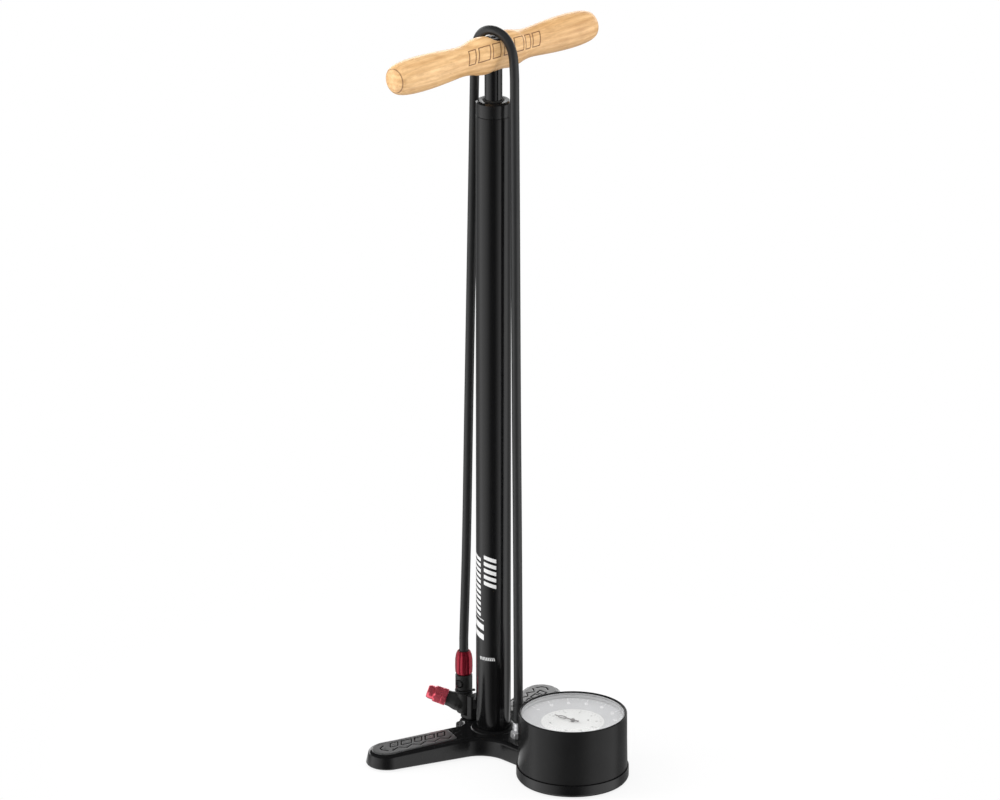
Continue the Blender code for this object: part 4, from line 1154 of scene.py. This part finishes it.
inner = rounded([(2.0, 53.7), (29.0, 53.7), (29.0, 54.9), (27.9, 54.9), (27.75, 54.78), (27.35, 54.78), (27.2, 54.9), (2.0, 54.9)],
                [0, 0.1, 0.12, 0, 0, 0, 0, 0], 3)
dial_in = lathe("dial_centre", inner, M["dial_white"], 0, GAUGE_Y, 144)
outer = rounded([(29.1, 53.7), (29.6, 53.7), (LENS_R - 0.2, 57.4), (LENS_R - 0.2, 58.8), (LENS_R - 1.2, 58.8), (29.3, 54.95), (29.1, 54.8)],
                [0, 0, 0, 0.2, 0.3, 0, 0], 3)
dial_out = lathe("dial_dish", outer, M["dial"], 0, GAUGE_Y, 192)
piece(dial_in, "base", "dial_print", "gauge_dial")
piece(dial_out, "base", "dial_print")

ZERO_DEG, SWEEP_DEG = 100.0, 270.0
UP_DEG = ZERO_DEG - 135.0


def dash(r, deg, length, width, lift=0.03, thick=0.06):
    """A radial tick as a thin block lying on the dish."""
    a = math.radians(deg)
    d, n = Vector((math.cos(a), math.sin(a), 0)), Vector((-math.sin(a), math.cos(a), 0))
    c = Vector((0, GAUGE_Y, 0))
    vs = []
    for rr in (r - length / 2, r + length / 2):
        for w in (-width / 2, width / 2):
            for t in (0.0, thick):
                p = c + d * rr + n * w
                vs.append(Vector((p.x, p.y, dish_z(rr) + lift + t)) * MM)
    f = [(0, 1, 3, 2), (4, 6, 7, 5), (0, 4, 5, 1), (2, 3, 7, 6), (0, 2, 6, 4), (1, 5, 7, 3)]
    return vs, f


def ticks(name, items, mat):
    verts, faces = [], []
    for it in items:
        v, f = dash(*it)
        o = len(verts)
        verts += v
        faces += [tuple(i + o for i in q) for q in f]
    return mesh_object(name, verts, faces, mat, 30.0)


def numerals(name, items, size, mat):
    """Flat numerals, upright to the dial's own top; items are (text, r, deg)."""
    obs = []
    for text, r, deg in items:
        cu = bpy.data.curves.new("t", 'FONT')
        cu.body = text
        cu.size = size
        cu.align_x, cu.align_y = 'CENTER', 'CENTER'
        cu.extrude = 0.03
        cu.resolution_u = 4
        o = bpy.data.objects.new("t", cu)
        bpy.context.scene.collection.objects.link(o)
        bpy.context.view_layer.update()
        me = bpy.data.meshes.new_from_object(o.evaluated_get(bpy.context.evaluated_depsgraph_get()))
        bpy.data.objects.remove(o)
        a = math.radians(deg)
        x, y = r * math.cos(a), r * math.sin(a)
        tilt = math.atan((58.8 - 54.9) / (LENS_R - 1.2 - 29.0)) if r > 30.0 else 0.0
        z = dish_z(r) + 0.07
        rot = Matrix.Rotation(math.radians(UP_DEG - 90.0), 4, 'Z')
        lean = Matrix.Rotation(-tilt, 4, Vector((-math.sin(a), math.cos(a), 0)))
        me.transform(Matrix.Scale(MM, 4) @ Matrix.Translation((x, y + GAUGE_Y, z)) @ lean @ rot)
        q = bpy.data.objects.new("t", me)
        bpy.context.scene.collection.objects.link(q)
        obs.append(q)
    return join(name, obs, mat)


out_ticks, in_ticks, out_nums, in_nums = [], [], [], []
for k in range(0, 45):
    deg = ZERO_DEG - SWEEP_DEG * k / 44
    major = k % 4 == 0
    out_ticks.append((43.6 if major else 44.1, deg, 3.2 if major else 2.0, 0.5 if major else 0.28))
    if major:
        out_nums.append((str(5 * k), 38.6, deg))
for k in range(0, 31):
    deg = ZERO_DEG - SWEEP_DEG * k / 30
    major = k % 4 == 0
    in_ticks.append((25.6 if major else 26.0, deg, 2.0 if major else 1.2, 0.4 if major else 0.22))
    if major:
        in_nums.append((str(k // 2), 21.6, deg))
piece(ticks("dial_outer_ticks", out_ticks, M["ink_light"]), "base", "dial_print")
piece(ticks("dial_inner_ticks", in_ticks, M["ink_dark"]), "base", "dial_print")
piece(numerals("dial_outer_numbers", out_nums, 4.2, M["ink_light"]), "base", "dial_print")
piece(numerals("dial_inner_numbers", in_nums + [("bar", 14.5, UP_DEG), ("psi", 20.5, UP_DEG + 180.0)], 3.0, M["ink_dark"]), "base",
      "dial_print")


def make_pointer():
    """Thin tip, open eye, boss and tail, with softened edges."""
    pd, pn = unit(ZERO_DEG), Vector((-unit(ZERO_DEG).y, unit(ZERO_DEG).x, 0))

    def eye(t, a, b):
        return 11.5 + a * math.cos(math.radians(t)), b * math.sin(math.radians(t))

    side = [(20.0, 0.25)] + [eye(8.0 + 164.0 * k / 20, 4.6, 2.5) for k in range(21)]
    side += [(2.0 * math.cos(math.radians(t)), 2.0 * math.sin(math.radians(t))) for t in range(15, 160, 8)]
    side.append((-6.5, 0.8))
    plan = [pd * s + pn * w for s, w in side] + [pd * s - pn * w for s, w in reversed(side)]
    lo = [(p.x, p.y + GAUGE_Y, 56.2) for p in plan]
    hi = [(p.x, p.y + GAUGE_Y, 56.9) for p in plan]
    ob = stack("pointer_blade", [lo, hi], None)
    ring = [eye(10.0 * k, 3.7, 1.7) for k in range(36)]
    cutter = stack("e", [[((pd * s + pn * w).x, (pd * s + pn * w).y + GAUGE_Y, z) for s, w in ring] for z in (55.0, 58.0)], None)
    cut(ob, cutter)
    boss = lathe("b", rounded([(0, 56.0), (1.9, 56.0), (1.9, 57.4), (0, 57.6)], [0, 0, 0.5, 0], 4), None, 0, GAUGE_Y, 48, phase=0.02)
    cut(ob, boss, 'UNION')
    sharpen(ob, M["pointer"], 30.0)
    return piece(ob, "pointer", "plastic_black", "gauge_pointer")


make_pointer()

# ================================================================ hose fitting on the gauge leg
nut_prof = rounded([(2.0, 6.8), (3.3, 6.8), (3.3, 12.3), (6.4, 12.3), (7.0, 12.9), (7.0, 22.9), (6.2, 24.0), (5.2, 24.4), (2.0, 24.4)],
                   [0, 0, 0, 0, 0.2, 0.3, 0.3, 0.3, 0], 4)


def nut_radius(r, z, a):
    return min(r, hex_radius(6.3, a, 0.3)) if r > 5.6 and 12.6 < z < 24.0 else r


piece(lathe("hose_hex_nut", nut_prof, M["chrome"], 0, HOSE_PORT_Y, 144, radial=nut_radius, sharp=20.0), "base", "chrome_bright", "hose_nut")
stem = [(0, 24.8), (4.4, 24.8), (5.0, 25.4), (5.2, 26.0), (5.2, 28.6), (4.9, 28.9), (4.9, 29.3), (5.2, 29.6), (5.2, 32.5), (4.9, 33.1),
        (4.35, 33.4), (0, 33.4)]
piece(lathe("hose_ferrule", rounded(stem, 0.2, 3), M["chrome"], 0, HOSE_PORT_Y, 96), "hose_swivel", "chrome_bright", "hose_stem")

# ================================================================ chuck
NOZZLE_DIR = Vector((math.cos(math.radians(128.0)) * math.cos(math.radians(17.4)),
                     math.sin(math.radians(128.0)) * math.cos(math.radians(17.4)),
                     math.sin(math.radians(17.4))))
NOZZLE_BASE = Vector((0.0, CHUCK_Y - 1.0, 30.5))
BUTTON_DIR, BUTTON_BASE = unit(191.0), Vector((0.0, CHUCK_Y, 52.4))

collar_prof = rounded([(4.7, 60.6), (7.0, 60.6), (7.9, 62.2), (8.15, 68.0), (8.05, 75.0), (7.3, 80.0), (5.9, 83.4), (4.7, 83.4)],
                      [0, 0.6, 1.5, 8.0, 6.0, 5.0, 0.6, 0], 7)


def flutes(r, z, a):
    if r < 5.4:
        return r
    u = (z - 60.6) / 22.8
    fade = min(1.0, max(0.0, (u + 0.02) / 0.10)) * min(1.0, max(0.0, (1.02 - u) / 0.10))
    s = abs(math.sin(4.0 * (a - 0.35)))
    return r - (0.16 + 0.58 * fade) * (1.0 - s ** 0.60)


collar_fine = []
for i, (r, z) in enumerate(collar_prof):
    collar_fine.append((r, z))
piece(lathe("collar_fluted", collar_fine, M["red"], 0, CHUCK_Y, 192, radial=flutes, sharp=42.0), "collar", "red_anodised", "chuck_collar")

body_prof = rounded([(0, 45.2), (7.3, 45.2), (7.9, 46.0), (7.9, 59.4), (7.4, 60.3), (3.9, 60.3), (3.9, 64.2), (0, 64.2)],
                    [0, 0.4, 0.6, 0.5, 0.4, 0, 0.3, 0], 5)
cbody = lathe("chuck_barrel", body_prof, None, 0, CHUCK_Y, 96)
cut(cbody, lathe("bb", [(0, 3.0), (4.15, 3.0), (4.15, 14.0), (0, 14.0)], None, segs=64, matrix=to_frame(BUTTON_BASE, BUTTON_DIR), phase=0.02))
sharpen(cbody, M["chuck"], 30.0)
piece(cbody, "chuck", "chuck_black", "chuck_body")
btn = rounded([(0, 4.9), (3.3, 4.9), (3.3, 7.6), (2.8, 8.1), (2.2, 7.7), (0, 7.3)], [0, 0.2, 0.3, 0.3, 0.4, 0], 4)
piece(lathe("bleed_button_cap", btn, M["plastic"], segs=64, matrix=to_frame(BUTTON_BASE, BUTTON_DIR)), "button", "chuck_black", "bleed_button")
flange = rounded([(0, 43.1), (7.9, 43.1), (8.35, 43.5), (8.35, 44.5), (7.9, 44.9), (0, 44.9)], [0, 0.3, 0.3, 0.3, 0.3, 0], 4)
flange = lathe("chuck_flange_ring", flange, None, 0, CHUCK_Y, 96)
LUG = unit(-44.4) * 9.0 + Vector((0, CHUCK_Y, 0))
cut(flange, lathe("lug", rounded([(0, 43.2), (1.6, 43.2), (1.6, 44.8), (0, 44.8)], [0, 0.5, 0.5, 0], 4), None, LUG.x, LUG.y, 32, phase=0.02), 'UNION')
sharpen(flange, M["plastic"], 32.0)
piece(flange, "chuck", "chuck_black", "chuck_flange")


def make_yoke():
    y = lathe("chuck_yoke_moulded", rounded([(0, 22.6), (7.0, 22.6), (7.5, 23.6), (7.5, 42.0), (6.9, 42.6), (0, 42.6)], [0, 0.5, 0.5, 0.5, 0.5, 0], 5),
              None, 0, CHUCK_Y - 1.0, 96)
    cut(y, lathe("br", rounded([(0, 0.0), (7.0, 0.0), (8.7, 4.6), (8.7, 8.4), (7.3, 14.0), (7.1, 17.0), (6.9, 17.35), (3.3, 17.35), (3.3, 25.4), (0, 25.4)],
                               [0, 0, 2.0, 3.0, 3.0, 0.3, 0.2, 0.5, 0.3, 0], 5), None, segs=96, matrix=to_frame(NOZZLE_BASE, NOZZLE_DIR), phase=0.03), 'UNION')
    cut(y, lathe("pl", rounded([(0, 19.9), (3.1, 19.9), (3.5, 20.5), (3.5, 30.0), (0, 30.0)], [0, 0.3, 0.3, 0, 0], 3), None, 0, DOCK_Y, 64, phase=0.04), 'UNION')
    remesh(y, 0.36, 2, 0.5)
    y.data.materials.clear()
    y.data.materials.append(M["chuck"])
    return y


piece(make_yoke(), "chuck", "chuck_black", "chuck_yoke")

nozzle_prof = rounded([(4.3, 17.45), (7.6, 17.45), (8.7, 18.2), (8.7, 21.6), (8.1, 22.1), (8.1, 22.5), (8.6, 23.0), (8.6, 28.2), (7.3, 29.7), (6.4, 30.0),
                       (6.2, 30.5), (6.5, 31.1), (6.45, 33.8), (5.7, 36.0), (4.7, 36.55), (4.3, 36.2)],
                      [0, 0.5, 0.4, 0.2, 0.15, 0.15, 0.3, 0.5, 0.3, 0.3, 0.3, 0.3, 1.0, 0.8, 0.3, 0], 4)


def nozzle_radius(r, z, a):
    flat = 7.75 if z < 22.3 else 7.55
    return min(r, hex_radius(flat, a, 0.0)) if r > 6.6 and 17.6 < z < 29.8 else r


nozzle_fine = []
for i in range(len(nozzle_prof) - 1):
    (r0, z0), (r1, z1) = nozzle_prof[i], nozzle_prof[i + 1]
    n = max(1, int(abs(z1 - z0) / 0.8))
    for k in range(n):
        nozzle_fine.append((r0 + (r1 - r0) * k / n, z0 + (z1 - z0) * k / n))
nozzle_fine.append(nozzle_prof[-1])
# the nut takes the lighter copy of the red finish, whose extra brightness is painted light
piece(lathe("nozzle_hex", nozzle_fine, M["red_nut"], segs=180, matrix=to_frame(NOZZLE_BASE, NOZZLE_DIR), radial=nozzle_radius, sharp=18.0),
      "nozzle", "red_anodised", "chuck_nozzle")


# ================================================================ dock post and clip
def make_dock():
    d = soft_block("dock_post_moulded", -5.6, 5.6, 24.8, 39.4, 3.0, 18.95, 22.0, 0.35)
    cut(d, soft_block("bk", -6.0, 6.0, 22.6, 29.6, 1.5, 20.2, 42.5, 0.5), 'UNION')
    cut(d, lathe("b1", [(0, 19.4), (4.0, 19.4), (4.0, 50.0), (0, 50.0)], None, 0, DOCK_Y, 64, phase=0.02))
    cut(d, lathe("b2", [(0, 22.2), (8.1, 22.2), (8.1, 50.0), (0, 50.0)], None, 0, CHUCK_Y - 1.0, 96, phase=0.03))
    sharpen(d, M["plastic"], 30.0)
    return piece(d, "base", "plastic_black", "dock_post")


make_dock()


def make_clip():
    def arc_loop(i, z):
        pts = []
        for k in range(37):
            a = math.radians(42.0 + 96.0 * k / 36)
            pts.append(((18.9 - i) * math.cos(a), (18.9 - i) * math.sin(a), z))
        for k in range(37):
            a = math.radians(138.0 - 96.0 * k / 36)
            pts.append(((16.35 + i) * math.cos(a), (16.35 + i) * math.sin(a), z))
        return pts
    e = 0.4
    c = stack("dock_clip_moulded", [arc_loop(e, 36.5), arc_loop(0.12, 36.62), arc_loop(0, 36.9), arc_loop(0, 45.6), arc_loop(0.12, 45.88),
                                    arc_loop(e, 46.0)], None)
    cut(c, soft_block("br", -4.5, 4.5, 17.8, 22.3, 0.5, 37.5, 42.0, 0.3), 'UNION')
    sharpen(c, M["plastic"], 30.0)
    return piece(c, "base", "plastic_black", "dock_clip")


make_clip()

# ================================================================ CAD pieces that stay: inner works, feet, seals
KEEP = {"foot_left": "rubber", "foot_right": "rubber", "foot_gauge": "rubber", "foot_hub": "rubber", "barrel_gasket": "rubber",
        "rod_bushing": "plastic", "valve_seat": "brass", "valve_poppet": "rubber", "valve_spring": "steel", "piston_head": "plastic",
        "piston_seal": "rubber", "piston_bolt": "steel", "piston_bumper": "rubber", "rod_plug": "steel", "gauge_spindle": "steel",
        "gauge_movement": "brass", "bourdon_tube": "brass", "gauge_stem": "brass", "nozzle_seal": "rubber"}
for n, m in KEEP.items():
    ob = NODES[n]
    ob.data.materials.clear()
    ob.data.materials.append(M[m])
# the valve spring gets a mesh of its own
coil = NODES["valve_spring"]
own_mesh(coil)
